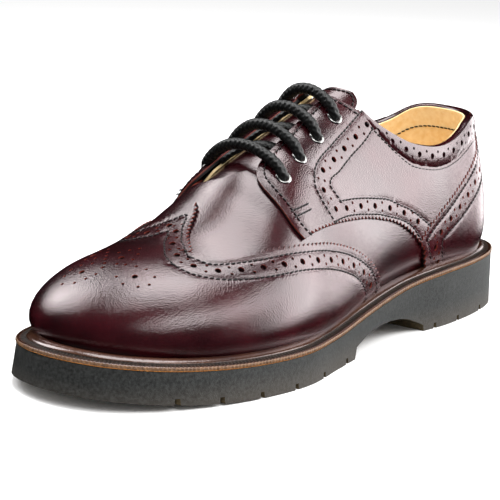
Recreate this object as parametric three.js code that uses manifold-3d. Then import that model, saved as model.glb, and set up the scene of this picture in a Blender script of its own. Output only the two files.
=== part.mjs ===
// A left brogue shoe: rubber sole, welt, leather upper with pinked overlays,
// padded collar, tongue, eyelets and four lace bars.
// Millimetres. +Z up, +Y heel, -Y toe, +X the shoe's outer side; the origin is
// on the ground under the middle of the sole.
import * as THREE from "three";
import { mergeVertices } from "three/addons/utils/BufferGeometryUtils.js";
import Module from "manifold-3d";

const wasm = await Module();
wasm.setup();

// Sole.
const soleLength = 305;
const soleWidth = 113;
const heelHeight = 25.9; // rubber under the heel
const foreHeight = 13.6; // rubber under the ball
const toeSpring = 5.9; // tread off the ground at the toe
const toeRise = 5.2; // the sole's top, toe above ball
const heelLength = 95;
const breastStep = 3.1; // upright step at the front of the heel
const archHeight = 10.4;
const slotWidth = 2.4;
const slotHeight = 2.6;
const slotDepth = 12;
const treadStep = 5;
const breastSlope = 0.6; // how far the breast and the tread's end lean
const treadSlope = 1.5;
const slotFlare = 0.3;

// Welt and insole.
const weltHeight = 2.3;
const weltWidth = 11;
const grooveInset = 2.2;
const grooveWidth = 1.8;
const grooveDepth = 0.9;
const insoleHeight = 4.5;
const seat = 0.3; // gap between pieces that rest on each other

// Upper.
const heelWelt = 3.7; // welt behind the upper
const toeWelt = 11.2; // welt in front of it
const sideWelt = 3; // welt beside it at the ball
const upperHeight = 100;
const upperWall = 2.2;
const featherPinch = 0.133; // how far the upper tucks in at the welt
const featherReach = 8;
const overlayWall = 1.4;
const facingWall = 2.7;
const facingFade = 12;
const collarWall = 2.6;
const collarDrop = 14;
const tongueWall = 2.8;
const tongueGap = 0.45;
const tongueFoot = 20; // keeps the tongue's plan off the form's underside

// Eyelets and lace.
const eyeletBore = 4.6;
const eyeletWall = 0.5;
const eyeletFlange = 7.8;
const eyeletRim = 0.5;
const laceWidth = 5.2;
const laceTip = 3.6; // the lace drawn thin in the eyelet
const laceLift = 1.1; // clear of the facings' curve
const laceStops = [0.13, 0.24, 0.36, 0.5, 0.64, 0.76, 0.87];
const laceTipDrop = 0.9;
const laceTaper = 0.85; // the lace's width next to an eyelet

// The sole's outline from the heel round the outer side to the toe and back:
// out, share of half the width; at, share of the length from the heel.
const soleOutline = [
  { out: -0.02, at: 0 },
  { out: 0.41, at: 0.014 },
  { out: 0.635, at: 0.065 },
  { out: 0.755, at: 0.14 },
  { out: 0.81, at: 0.25 },
  { out: 0.775, at: 0.36 },
  { out: 0.83, at: 0.48 },
  { out: 0.945, at: 0.59 },
  { out: 1.035, at: 0.68 },
  { out: 1, at: 0.76 },
  { out: 0.87, at: 0.85 },
  { out: 0.64, at: 0.93 },
  { out: 0.315, at: 0.983 },
  { out: -0.11, at: 1 },
  { out: -0.5, at: 0.978 },
  { out: -0.77, at: 0.92 },
  { out: -0.915, at: 0.84 },
  { out: -0.965, at: 0.75 },
  { out: -0.925, at: 0.67 },
  { out: -0.8, at: 0.58 },
  { out: -0.655, at: 0.47 },
  { out: -0.6, at: 0.37 },
  { out: -0.635, at: 0.26 },
  { out: -0.705, at: 0.15 },
  { out: -0.655, at: 0.06 },
  { out: -0.435, at: 0.012 },
];

// The shank's underside between the heel and the tread. rise: share of the
// way from the breast's step to the arch's height.
const archLine = [
  { at: 0.335, rise: 0.3 },
  { at: 0.355, rise: 0.7 },
  { at: 0.38, rise: 0.885 },
  { at: 0.41, rise: 1 },
  { at: 0.445, rise: 0.955 },
  { at: 0.475, rise: 0.77 },
  { at: 0.505, rise: 0.5 },
  { at: 0.52, rise: 0.3 },
];
const treadStart = 0.527;
const springStart = 0.72; // from here the toe rises
const dropStart = 0.22; // the sole's top falls from the heel between these
const dropEnd = 0.62;
const treadSlots = [0.557, 0.639, 0.714, 0.781, 0.846, 0.906];
const heelSlots = [0.128, 0.215, 0.282];

// The upper's form. at: share of its length from the heel; middle, half and
// lean: shares of half its width; ridge: share of its height; side and crown:
// how full the section is across and upwards.
const lastForm = [
  { at: 0, middle: -0.035, half: 0.69, ridge: 1.035, side: 2.2, crown: 1.35, lean: -0.005 },
  { at: 0.12, middle: -0.015, half: 0.725, ridge: 1.015, side: 2.15, crown: 1.6, lean: -0.01 },
  { at: 0.25, middle: 0.04, half: 0.69, ridge: 0.995, side: 2.2, crown: 1.75, lean: -0.02 },
  { at: 0.38, middle: 0.06, half: 0.655, ridge: 0.94, side: 2.1, crown: 1.65, lean: -0.07 },
  { at: 0.5, middle: 0.075, half: 0.745, ridge: 0.84, side: 2, crown: 1.55, lean: -0.13 },
  { at: 0.62, middle: 0.06, half: 0.91, ridge: 0.7, side: 2, crown: 1.65, lean: -0.11 },
  { at: 0.74, middle: 0.01, half: 0.99, ridge: 0.455, side: 2.15, crown: 1.85, lean: -0.085 },
  { at: 0.86, middle: -0.08, half: 0.905, ridge: 0.335, side: 2.2, crown: 2.05, lean: -0.075 },
  { at: 1, middle: -0.225, half: 0.78, ridge: 0.21, side: 2.15, crown: 2.1, lean: -0.07 },
];
const toeStart = 0.838;
const toeFullness = 2.15;
const heelStart = 0.145;
const heelFullness = 2.26;

// Pattern lines seen from the side. at: share of the sole's length, heel
// positive; rise: height over the welt, share of the upper's height.
const outerTopline = [
  { at: 0.06, rise: 0.965 },
  { at: 0.065, rise: 0.905 },
  { at: 0.085, rise: 0.9 },
  { at: 0.09, rise: 0.885 },
  { at: 0.1, rise: 0.86 },
  { at: 0.11, rise: 0.835 },
  { at: 0.13, rise: 0.765 },
  { at: 0.16, rise: 0.695 },
  { at: 0.19, rise: 0.645 },
  { at: 0.235, rise: 0.6 },
  { at: 0.265, rise: 0.59 },
  { at: 0.295, rise: 0.605 },
  { at: 0.32, rise: 0.625 },
  { at: 0.345, rise: 0.65 },
  { at: 0.385, rise: 0.68 },
  { at: 0.435, rise: 0.69 },
  { at: 0.5, rise: 0.69 },
];
const innerTopline = [
  { at: 0.07, rise: 0.98 },
  { at: 0.075, rise: 0.92 },
  { at: 0.09, rise: 0.92 },
  { at: 0.1, rise: 0.895 },
  { at: 0.12, rise: 0.835 },
  { at: 0.14, rise: 0.765 },
  { at: 0.17, rise: 0.69 },
  { at: 0.205, rise: 0.64 },
  { at: 0.245, rise: 0.595 },
  { at: 0.295, rise: 0.585 },
  { at: 0.355, rise: 0.585 },
  { at: 0.405, rise: 0.59 },
  { at: 0.435, rise: 0.615 },
  { at: 0.45, rise: 0.65 },
  { at: 0.46, rise: 0.685 },
  { at: 0.5, rise: 0.69 },
];
const quarterPinking = [
  { at: -0.15, rise: 0.415 },
  { at: -0.105, rise: 0.43 },
  { at: -0.075, rise: 0.435 },
  { at: -0.045, rise: 0.43 },
  { at: -0.01, rise: 0.42 },
  { at: 0.03, rise: 0.4 },
  { at: 0.07, rise: 0.37 },
  { at: 0.105, rise: 0.335 },
  { at: 0.135, rise: 0.295 },
  { at: 0.16, rise: 0.25 },
  { at: 0.18, rise: 0.2 },
  { at: 0.195, rise: 0.155 },
  { at: 0.205, rise: 0.13 },
];
const counterPinking = [
  { at: 0.23, rise: -0.125 },
  { at: 0.225, rise: 0 },
  { at: 0.21, rise: 0.08 },
  { at: 0.205, rise: 0.13 },
  { at: 0.21, rise: 0.17 },
  { at: 0.225, rise: 0.215 },
  { at: 0.25, rise: 0.255 },
  { at: 0.28, rise: 0.315 },
  { at: 0.32, rise: 0.375 },
  { at: 0.345, rise: 0.415 },
  { at: 0.37, rise: 0.465 },
  { at: 0.395, rise: 0.52 },
  { at: 0.415, rise: 0.575 },
  { at: 0.43, rise: 0.635 },
  { at: 0.435, rise: 0.78 },
];
const wingPinking = [
  { at: -0.27, rise: 0.38 },
  { at: -0.255, rise: 0.37 },
  { at: -0.235, rise: 0.375 },
  { at: -0.205, rise: 0.38 },
  { at: -0.17, rise: 0.39 },
  { at: -0.135, rise: 0.39 },
  { at: -0.085, rise: 0.38 },
  { at: -0.035, rise: 0.335 },
  { at: 0.015, rise: 0.26 },
  { at: 0.045, rise: 0.205 },
  { at: 0.065, rise: 0.145 },
  { at: 0.08, rise: 0.085 },
  { at: 0.085, rise: 0.055 },
  { at: 0.09, rise: -0.12 },
];
// The wing's peak seen from above, outer side first. out: share of half the
// upper's width; at: share of the sole's length.
const wingPeak = [
  { out: 0.36, at: -0.4 },
  { out: 0.36, at: -0.262 },
  { out: 0.24, at: -0.27 },
  { out: 0.13, at: -0.258 },
  { out: 0.02, at: -0.24 },
  { out: -0.03, at: -0.225 },
  { out: -0.05, at: -0.215 },
  { out: -0.09, at: -0.196 },
  { out: -0.165, at: -0.185 },
  { out: -0.225, at: -0.2 },
  { out: -0.32, at: -0.213 },
  { out: -0.43, at: -0.224 },
  { out: -0.55, at: -0.228 },
  { out: -0.75, at: -0.22 },
  { out: -0.75, at: -0.4 },
];
const peakDrop = 15; // the peak's plan cuts down to this far under the side line
const collarStart = 0.112;
// The tongue seen from above. out: share of half the upper's width from the
// throat's middle; at: share of the sole's length.
const tonguePlan = [
  { out: 0.25, at: -0.165 },
  { out: 0.38, at: -0.145 },
  { out: 0.38, at: -0.02 },
  { out: 0.385, at: 0.07 },
  { out: 0.38, at: 0.12 },
  { out: 0.33, at: 0.128 },
  { out: 0.2, at: 0.12 },
  { out: 0, at: 0.115 },
];

// The facing's front edge seen from above. out: distance behind the throat's
// edge, share of half the upper's width; at: share of the sole's length.
const facingFront = [
  { out: 0, at: -0.06 },
  { out: 0, at: -0.09 },
  { out: 0.01, at: -0.1 },
  { out: 0.035, at: -0.113 },
  { out: 0.095, at: -0.123 },
  { out: 0.22, at: -0.126 },
  { out: 0.435, at: -0.125 },
  { out: 0.59, at: -0.115 },
];
const throatMiddle = -0.1; // share of half the upper's width
const throatHalf = 12;
const throatTopHalf = 8;
const throatEdge = 1.2; // the upper ends this far under the facing
const throatFront = -0.135;
const throatRound = 8;
const eyeletHalf = 23.6; // lowest eyelet from the throat's middle
const eyeletTopHalf = 17.5;
const innerEyeletLess = 2.2; // the inner row lies nearer the middle
const eyeletPlaces = [-0.091, -0.042, 0.01, 0.061];
const innerLag = 3; // the inner facing lies this far behind the outer

const gridRows = 28;
const gridRing = 20;
const eyeletSides = 10;
const laceSides = 8;
const outlineSteps = 54;
const centreLift = 22; // the form's rings are drawn round a line this high
const centreShare = 0.38;
const farSide = 120; // clear of the shoe on every side
const farUnder = -20;
const farOver = 300;

const upperLength = soleLength - heelWelt - toeWelt;
const upperWidth = soleWidth - 2 * sideWelt;
const upperBack = soleLength / 2 - heelWelt;

function clamp(value, low, high) {
  return Math.min(Math.max(value, low), high);
}

function smooth(from, to, value) {
  const t = clamp((value - from) / (to - from), 0, 1);
  return t * t * (3 - 2 * t);
}

// Natural cubic spline through one column of a table.
function column(rows, name, scale = 1) {
  const x = rows.map((row) => row.at);
  const y = rows.map((row) => row[name] * scale);
  const n = x.length;
  const bend = new Array(n).fill(0);
  const carry = new Array(n).fill(0);
  for (let i = 1; i < n - 1; i += 1) {
    const part = (x[i] - x[i - 1]) / (x[i + 1] - x[i - 1]);
    const pivot = part * bend[i - 1] + 2;
    bend[i] = (part - 1) / pivot;
    const turn = (y[i + 1] - y[i]) / (x[i + 1] - x[i]) - (y[i] - y[i - 1]) / (x[i] - x[i - 1]);
    carry[i] = ((6 * turn) / (x[i + 1] - x[i - 1]) - part * carry[i - 1]) / pivot;
  }
  for (let i = n - 2; i >= 0; i -= 1) bend[i] = bend[i] * bend[i + 1] + carry[i];
  return (at) => {
    let i = 0;
    while (i < n - 2 && at > x[i + 1]) i += 1;
    const step = x[i + 1] - x[i];
    const a = (x[i + 1] - at) / step;
    const b = 1 - a;
    const curve = (a ** 3 - a) * bend[i] + (b ** 3 - b) * bend[i + 1];
    return a * y[i] + b * y[i + 1] + (curve * step ** 2) / 6;
  };
}

// Heights of the sole along its length.
function soleShare(y) {
  return clamp(0.5 - y / soleLength, 0, 1);
}

function toePart(share) {
  return Math.max(0, (share - springStart) / (1 - springStart)) ** 2;
}

function rubberTop(y) {
  const share = soleShare(y);
  const drop = (heelHeight - foreHeight) * smooth(dropStart, dropEnd, share);
  return heelHeight - drop + toeRise * toePart(share);
}

function weltTop(y) {
  return rubberTop(y) + seat + weltHeight;
}

// The form: under 0 inside, over 0 outside.
const half = upperWidth / 2;
const form = {
  middle: column(lastForm, "middle", half),
  half: column(lastForm, "half", half),
  ridge: column(lastForm, "ridge", upperHeight),
  side: column(lastForm, "side"),
  crown: column(lastForm, "crown"),
  lean: column(lastForm, "lean", half),
};

function formValue(x, y, z) {
  const run = (upperBack - y) / upperLength;
  const at = clamp(run, -0.02, 1.03);
  const rise = z - weltTop(y);
  const pinch = 1 - featherPinch * Math.exp(-Math.max(rise, -5) / featherReach);
  const up = rise / form.ridge(at);
  const middle = form.middle(at) + form.lean(at) * clamp(up, -0.2, 1.3);
  const side = Math.abs(x - middle) / (form.half(at) * pinch);
  const toe = Math.max(0, (run - toeStart) / (1 - toeStart)) / pinch;
  const heel = Math.max(0, (heelStart - run) / heelStart) / pinch;
  const below = Math.max(0, -rise / featherReach);
  return side ** form.side(at) + Math.max(up, 0) ** form.crown(at) + toe ** toeFullness
    + heel ** heelFullness + below ** 4 - 1;
}

function formNormal(x, y, z) {
  const e = 0.05;
  return new THREE.Vector3(
    formValue(x + e, y, z) - formValue(x - e, y, z),
    formValue(x, y + e, z) - formValue(x, y - e, z),
    formValue(x, y, z + e) - formValue(x, y, z - e),
  ).normalize();
}

function formCentre(y) {
  const at = clamp((upperBack - y) / upperLength, 0, 1);
  const lift = Math.min(centreLift, centreShare * form.ridge(at));
  return new THREE.Vector3(form.middle(at) + form.lean(at) * 0.3, y, weltTop(y) + lift);
}

function crossing(inside, outside, test) {
  let low = inside;
  let high = outside;
  for (let i = 0; i < 30; i += 1) {
    const mid = (low + high) / 2;
    if (test(mid) < 0) low = mid;
    else high = mid;
  }
  return (low + high) / 2;
}

const poleValue = (y) => {
  const c = formCentre(y);
  return formValue(c.x, c.y, c.z);
};
const backPole = crossing(0, soleLength, poleValue);
const toePole = crossing(0, -soleLength, poleValue);

// Points of the form on one grid, so that every offset of it has facets that
// run side by side.
const formGrid = [];
for (let i = 0; i <= gridRows; i += 1) {
  const turn = (Math.PI * i) / gridRows;
  const y = (backPole + toePole) / 2 + ((backPole - toePole) / 2) * Math.cos(turn);
  const centre = formCentre(y);
  const ring = [];
  for (let j = 0; j < gridRing; j += 1) {
    const angle = (2 * Math.PI * (j + 0.5)) / gridRing;
    const dx = Math.cos(angle);
    const dz = Math.sin(angle);
    const reach = i === 0 || i === gridRows
      ? 0
      : crossing(0, farSide, (r) => formValue(centre.x + dx * r, y, centre.z + dz * r));
    const point = new THREE.Vector3(centre.x + dx * reach, y, centre.z + dz * reach);
    ring.push({ point, normal: formNormal(point.x, point.y, point.z) });
    if (i === 0 || i === gridRows) break;
  }
  formGrid.push(ring);
}

function solidOf(geometry) {
  geometry.deleteAttribute("normal");
  geometry.deleteAttribute("uv");
  const merged = mergeVertices(geometry, 1e-4);
  const mesh = new wasm.Mesh({
    numProp: 3,
    vertProperties: new Float32Array(merged.attributes.position.array),
    triVerts: new Uint32Array(merged.index.array),
  });
  return new wasm.Manifold(mesh);
}

function geometryOf(solid) {
  const mesh = solid.getMesh();
  const geometry = new THREE.BufferGeometry();
  geometry.setAttribute("position", new THREE.BufferAttribute(new Float32Array(mesh.vertProperties), 3));
  geometry.setIndex(new THREE.BufferAttribute(new Uint32Array(mesh.triVerts), 1));
  return geometry;
}

// The biggest body of a cut piece.
function whole(solid) {
  return solid.decompose().sort((a, b) => b.volume() - a.volume())[0];
}

function ringGeometry(rings) {
  const positions = [];
  const start = [];
  for (const ring of rings) {
    start.push(positions.length / 3);
    for (const p of ring) positions.push(p.x, p.y, p.z);
  }
  const index = [];
  for (let i = 0; i < rings.length - 1; i += 1) {
    const near = rings[i].length;
    const far = rings[i + 1].length;
    const sides = Math.max(near, far);
    for (let j = 0; j < sides; j += 1) {
      const k = (j + 1) % sides;
      const a = start[i] + (near === 1 ? 0 : j);
      const b = start[i] + (near === 1 ? 0 : k);
      const c = start[i + 1] + (far === 1 ? 0 : k);
      const d = start[i + 1] + (far === 1 ? 0 : j);
      if (a !== b) index.push(a, b, c);
      if (c !== d) index.push(a, c, d);
    }
  }
  const geometry = new THREE.BufferGeometry();
  geometry.setAttribute("position", new THREE.Float32BufferAttribute(positions, 3));
  geometry.setIndex(index);
  return geometry;
}

function formBody(offset) {
  const rings = formGrid.map((ring) => ring.map(({ point, normal }) => {
    const rise = typeof offset === "function" ? offset(point) : offset;
    return point.clone().addScaledVector(normal, rise);
  }));
  return solidOf(ringGeometry(rings));
}

// A prism over an outline seen from above, and one across the shoe over an
// outline seen from the outer side.
function planPrism(points, low = farUnder, high = farOver) {
  const shape = new THREE.Shape(points.map((p) => new THREE.Vector2(p.x, p.y)));
  const geometry = new THREE.ExtrudeGeometry(shape, { depth: high - low, bevelEnabled: false });
  geometry.translate(0, 0, low);
  return solidOf(geometry);
}

function sidePrism(points, inner = -farSide, outer = farSide) {
  const shape = new THREE.Shape(points.map((p) => new THREE.Vector2(p.x, p.y)));
  const geometry = new THREE.ExtrudeGeometry(shape, { depth: outer - inner, bevelEnabled: false });
  geometry.applyMatrix4(new THREE.Matrix4().set(0, 0, 1, inner, 1, 0, 0, 0, 0, 1, 0, 0, 0, 0, 0, 1));
  return solidOf(geometry);
}

function v2(x, y) {
  return new THREE.Vector2(x, y);
}

// Rows of a pattern line as points, moved by a step along and up.
function sideLine(rows, along = 0, up = 0) {
  return rows.map((row) => {
    const y = row.at * soleLength;
    return v2(y + along, weltTop(y) + row.rise * upperHeight + up);
  });
}

// The sole's outline, and the same line drawn inwards.
const outlineCurve = new THREE.CatmullRomCurve3(
  soleOutline.map((row) => new THREE.Vector3(
    (row.out * soleWidth) / 2,
    (0.5 - row.at) * soleLength,
    0,
  )),
  true,
  "centripetal",
);
const outlinePoints = outlineCurve.getPoints(outlineSteps).slice(0, outlineSteps);
function outline(inset = 0) {
  const count = outlinePoints.length;
  return outlinePoints.map((p, i) => {
    const before = outlinePoints[(i + count - 1) % count];
    const after = outlinePoints[(i + 1) % count];
    const run = v2(after.x - before.x, after.y - before.y).normalize();
    return v2(p.x + run.y * inset, p.y - run.x * inset);
  });
}

function outlineX(share, outer) {
  const y = (0.5 - share) * soleLength;
  let best = outlinePoints[0];
  for (const p of outlinePoints) {
    if ((p.x > 0) === outer && Math.abs(p.y - y) < Math.abs(best.y - y)) best = p;
  }
  return best.x;
}

// Band between two heights that follow the sole's top.
const waistShares = [-0.03, 0, 0.22, 0.29, 0.34, 0.39, 0.44, 0.49, 0.55, 0.62];
const toeShares = [0.72, 0.78, 0.84, 0.89, 0.94, 1, 1.03];
const bandShares = [...waistShares, ...toeShares];
function band(low, high) {
  const ys = bandShares.map((share) => (0.5 - share) * soleLength);
  const lower = ys.map((y) => v2(y, low(y)));
  const upper = ys.map((y) => v2(y, high(y))).reverse();
  return sidePrism([...lower, ...upper]);
}

// Outsole.
const breast = soleLength / 2 - heelLength;
const treadEnd = (0.5 - treadStart) * soleLength;
const soleProfile = [v2(soleLength, 0), v2(breast, 0), v2(breast - breastSlope, breastStep)];
for (const row of archLine) {
  const rise = breastStep + (archHeight - breastStep) * row.rise;
  soleProfile.push(v2((0.5 - row.at) * soleLength, rise));
}
soleProfile.push(v2(treadEnd + treadSlope, treadStep), v2(treadEnd, 0));
for (const share of toeShares) {
  soleProfile.push(v2((0.5 - share) * soleLength, toeSpring * toePart(share)));
}
for (const share of [...bandShares].reverse()) {
  const y = (0.5 - share) * soleLength;
  soleProfile.push(v2(y, rubberTop(y)));
}
soleProfile.push(v2(soleLength, rubberTop(soleLength)));
let outsole = planPrism(outline()).intersect(sidePrism(soleProfile));
for (const share of [...treadSlots, ...heelSlots]) {
  const y = (0.5 - share) * soleLength;
  const low = toeSpring * toePart(share);
  for (const outer of [true, false]) {
    const edge = outlineX(share, outer);
    const from = outer ? edge - slotDepth : edge - slotDepth * 2;
    const to = outer ? edge + slotDepth * 2 : edge + slotDepth;
    const foot = slotWidth / 2 + slotFlare;
    const head = slotWidth / 2 - slotFlare;
    outsole = outsole.subtract(sidePrism([
      v2(y - foot, low - slotHeight),
      v2(y + foot, low - slotHeight),
      v2(y + head, low + slotHeight),
      v2(y - head, low + slotHeight),
    ], from, to));
  }
}

// Welt: a flat rim with a wheeled groove near its edge.
const groove = planPrism(outline(grooveInset))
  .subtract(planPrism(outline(grooveInset + grooveWidth)))
  .intersect(band((y) => weltTop(y) - grooveDepth, (y) => weltTop(y) + grooveDepth));
const welt = planPrism(outline(seat))
  .subtract(planPrism(outline(weltWidth)))
  .intersect(band((y) => rubberTop(y) + seat, weltTop))
  .subtract(groove);

const insole = planPrism(outline(weltWidth + seat))
  .intersect(band((y) => rubberTop(y) + seat, (y) => rubberTop(y) + seat + insoleHeight))
  .intersect(formBody(-upperWall - seat - 0.2));

// Throat: how far a point is from its middle, and the facing's extra leather.
const throatX = (throatMiddle * upperWidth) / 2;
function throatWidth(y) {
  return throatHalf + (throatTopHalf - throatHalf) * smooth(-0.08 * soleLength, 0.1 * soleLength, y);
}

function facingRise(point) {
  const aside = Math.abs(point.x - throatX) - throatHalf;
  return (facingWall - overlayWall) * (1 - smooth(facingFade, facingFade * 2, aside));
}

const overFeather = band((y) => weltTop(y) + seat, (y) => weltTop(y) + upperHeight * 1.5);

// Regions between pattern lines. Each side of the shoe is cut by itself.
function bothSides(outerPoints, innerPoints) {
  return sidePrism(outerPoints, throatX, farSide).add(sidePrism(innerPoints, -farSide, throatX));
}

function aboveLine(rows, step = 0) {
  const line = sideLine(rows, 0, step);
  const end = line[line.length - 1].y;
  return [v2(line[0].x, farOver), ...line, v2(soleLength, end), v2(soleLength, farOver)];
}

const opening = bothSides(aboveLine(outerTopline), aboveLine(innerTopline));

function behindLine(rows, step = 0) {
  const line = sideLine(rows, step);
  return [...line, v2(soleLength, line[line.length - 1].y), v2(soleLength, line[0].y)];
}

const counterRegion = bothSides(behindLine(counterPinking), behindLine(counterPinking));
const counterRoom = bothSides(behindLine(counterPinking, -seat), behindLine(counterPinking, -seat));

const wingLine = sideLine(wingPinking);
const wingSide = [
  ...wingLine,
  v2(-soleLength, wingLine[wingLine.length - 1].y),
  v2(-soleLength, wingLine[0].y),
];
const peakPlan = wingPeak.map((row) => v2(row.out * half, row.at * soleLength));
const toeOver = planPrism([
  v2(-farSide, wingLine[0].x),
  v2(-farSide, -soleLength),
  v2(farSide, -soleLength),
  v2(farSide, wingLine[0].x),
], wingLine[0].y - seat);
const wingRegion = bothSides(wingSide, wingSide).add(toeOver).add(planPrism(peakPlan, wingLine[0].y - peakDrop));

// The collar's lower edge runs below the topline.
function rollLine(rows, step, front) {
  return rows.filter((row) => row.at * soleLength > front + 1).map((row) => {
    const y = row.at * soleLength;
    return v2(y, weltTop(y) + row.rise * upperHeight - collarDrop + step);
  });
}

function rollPoints(rows, step, front) {
  const line = rollLine(rows, step, front);
  const end = line[line.length - 1].y;
  return [
    v2(front, farOver),
    v2(front, line[0].y),
    ...line,
    v2(soleLength, end),
    v2(soleLength, farOver),
  ];
}

const collarFront = collarStart * soleLength;
const collarRegion = bothSides(
  rollPoints(outerTopline, 0, collarFront),
  rollPoints(innerTopline, 0, collarFront + innerLag),
);
const collarRoom = bothSides(
  rollPoints(outerTopline, -seat, collarFront - seat),
  rollPoints(innerTopline, -seat, collarFront + innerLag - seat),
);

// Throat seen from above, from its front end back.
function throatPoints(grow) {
  const line = [];
  const front = throatFront * soleLength;
  for (const turn of [0, 0.25, 0.5, 0.75, 1]) {
    const angle = Math.PI * (1 - turn);
    const wide = throatWidth(front) + grow;
    const y = front + throatRound * (1 - Math.sin(angle)) - grow / 2;
    line.push(v2(throatX + wide * Math.cos(angle), y));
  }
  for (const share of [-0.06, 0, 0.08, 0.2]) {
    line.push(v2(throatX + throatWidth(share * soleLength) + grow, share * soleLength));
  }
  for (const share of [0.2, 0.08, 0, -0.06]) {
    line.push(v2(throatX - throatWidth(share * soleLength) - grow, share * soleLength));
  }
  return line;
}

const throat = planPrism(throatPoints(throatEdge));
const facingThroat = planPrism(throatPoints(0));

// Eyelets: place and direction on the form, outer or inner side.
function onForm(x, y) {
  const z = crossing(weltTop(y) + 5, weltTop(y) + upperHeight * 1.6, (h) => formValue(x, y, h));
  return { point: new THREE.Vector3(x, y, z), normal: formNormal(x, y, z) };
}

const eyelets = [];
for (const side of [1, -1]) {
  for (const share of eyeletPlaces) {
    const y = share * soleLength + (side < 0 ? innerLag : 0);
    const up = (share - eyeletPlaces[0]) / (eyeletPlaces[eyeletPlaces.length - 1] - eyeletPlaces[0]);
    const wide = eyeletHalf + (eyeletTopHalf - eyeletHalf) * up - (side < 0 ? innerEyeletLess : 0);
    const x = throatX + side * wide;
    eyelets.push({ side, ...onForm(x, y) });
  }
}

function turned(geometry, place, rise) {
  const turn = new THREE.Quaternion().setFromUnitVectors(new THREE.Vector3(0, 0, 1), place.normal);
  const at = place.point.clone().addScaledVector(place.normal, rise);
  return geometry.applyMatrix4(new THREE.Matrix4().compose(at, turn, new THREE.Vector3(1, 1, 1)));
}

function lathe(profile, sides) {
  const geometry = new THREE.LatheGeometry(profile.map(([r, z]) => v2(r, z)), sides);
  return geometry.rotateX(Math.PI / 2);
}

const boreRadius = eyeletBore / 2;
const barrelRadius = boreRadius + eyeletWall;
function eyeletHole(place) {
  const radius = barrelRadius + seat;
  const geometry = new THREE.CylinderGeometry(radius, radius, facingWall * 8, eyeletSides);
  geometry.rotateX(Math.PI / 2);
  return solidOf(turned(geometry, place, 0));
}

const facingTop = seat + facingWall;
function eyeletSolid(place) {
  const low = -upperWall - eyeletRim / 2;
  const sit = facingTop + seat * 1.2;
  const profile = [
    [boreRadius, low],
    [barrelRadius, low],
    [barrelRadius, sit],
    [eyeletFlange / 2, sit],
    [eyeletFlange / 2 - eyeletRim / 2, sit + eyeletRim],
    [boreRadius, sit + eyeletRim],
    [boreRadius, low],
  ];
  return turned(lathe(profile, eyeletSides), place, 0);
}

// Upper: one hollow shell, open under the foot, at the throat and the collar.
let upper = formBody(0).subtract(formBody(-upperWall)).intersect(overFeather)
  .subtract(opening).subtract(throat);

const overlaySkin = formBody(overlayWall + seat).subtract(formBody(seat)).intersect(overFeather);
const facingSkin = formBody((p) => overlayWall + seat + facingRise(p)).subtract(formBody(seat));
const collarSkin = formBody(collarWall + seat).subtract(formBody(seat));

const wingtip = overlaySkin.intersect(wingRegion);
const counter = overlaySkin.subtract(opening).intersect(counterRegion);
const collar = collarSkin.subtract(opening).intersect(collarRegion).subtract(counterRoom);

function quarterSide(side) {
  const lag = side < 0 ? innerLag : 0;
  const above = aboveLine(quarterPinking);
  const inner = throatX + side * seat;
  const front = facingFront.map((row) => {
    const y = row.at * soleLength;
    return v2(throatX + side * (throatWidth(y) + row.out * half), y + lag);
  });
  const plan = [
    v2(inner, front[0].y),
    ...front,
    v2(side * farSide, front[front.length - 1].y),
    v2(side * farSide, soleLength),
    v2(inner, soleLength),
  ];
  if (side < 0) plan.reverse();
  return facingSkin
    .intersect(sidePrism(above, side > 0 ? throatX : -farSide, side > 0 ? farSide : throatX))
    .intersect(planPrism(plan))
    .subtract(facingThroat)
    .subtract(opening)
    .subtract(collarRoom)
    .subtract(counterRoom);
}

let outerQuarter = quarterSide(1);
let innerQuarter = quarterSide(-1);
for (const place of eyelets) {
  const hole = eyeletHole(place);
  upper = upper.subtract(hole);
  if (place.side > 0) outerQuarter = outerQuarter.subtract(hole);
  else innerQuarter = innerQuarter.subtract(hole);
}

// Tongue: a strip under the facings, from under the vamp to over the topline.
const tongueSide = (side) => tonguePlan.map((row) => {
  return v2(throatX + side * row.out * half, row.at * soleLength);
});
const tongueEdge = [...tongueSide(1), ...tongueSide(-1).slice(0, -1).reverse()];
const tongueOuter = upperWall + tongueGap;
const tongue = formBody(-tongueOuter).subtract(formBody(-tongueOuter - tongueWall))
  .intersect(planPrism(tongueEdge, weltTop(0) + tongueFoot));

// Lace bars: each runs from its outer eyelet over the facings to the inner.
function tube(points, radii, sides) {
  const rings = [[points[0]]];
  points.forEach((p, i) => {
    const before = points[Math.max(i - 1, 0)];
    const after = points[Math.min(i + 1, points.length - 1)];
    const along = after.clone().sub(before).normalize();
    const across = new THREE.Vector3(0, 1, 0.5).cross(along).normalize();
    const up = along.clone().cross(across).normalize();
    const ring = [];
    for (let j = 0; j < sides; j += 1) {
      const angle = (2 * Math.PI * j) / sides;
      ring.push(p.clone().addScaledVector(across, radii[i] * Math.cos(angle))
        .addScaledVector(up, radii[i] * Math.sin(angle)));
    }
    rings.push(ring);
  });
  rings.push([points[points.length - 1]]);
  return ringGeometry(rings);
}

const laceRise = facingTop + laceWidth / 2 + laceLift;
function laceBar(outer, inner) {
  const points = [];
  const radii = [];
  const tip = laceTip / 2;
  const full = laceWidth / 2;
  const thin = (place, rise, radius) => {
    points.push(place.point.clone().addScaledVector(place.normal, rise));
    radii.push(radius);
  };
  thin(outer, -laceTipDrop, tip);
  thin(outer, laceRise - laceTipDrop, tip);
  laceStops.forEach((t, i) => {
    const x = outer.point.x + (inner.point.x - outer.point.x) * t;
    const y = outer.point.y + (inner.point.y - outer.point.y) * t;
    const place = onForm(x, y);
    const last = i === 0 || i === laceStops.length - 1;
    thin(place, laceRise, last ? full * laceTaper : full);
  });
  thin(inner, laceRise - laceTipDrop, tip);
  thin(inner, -laceTipDrop, tip);
  return tube(points, radii, laceSides);
}

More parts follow.
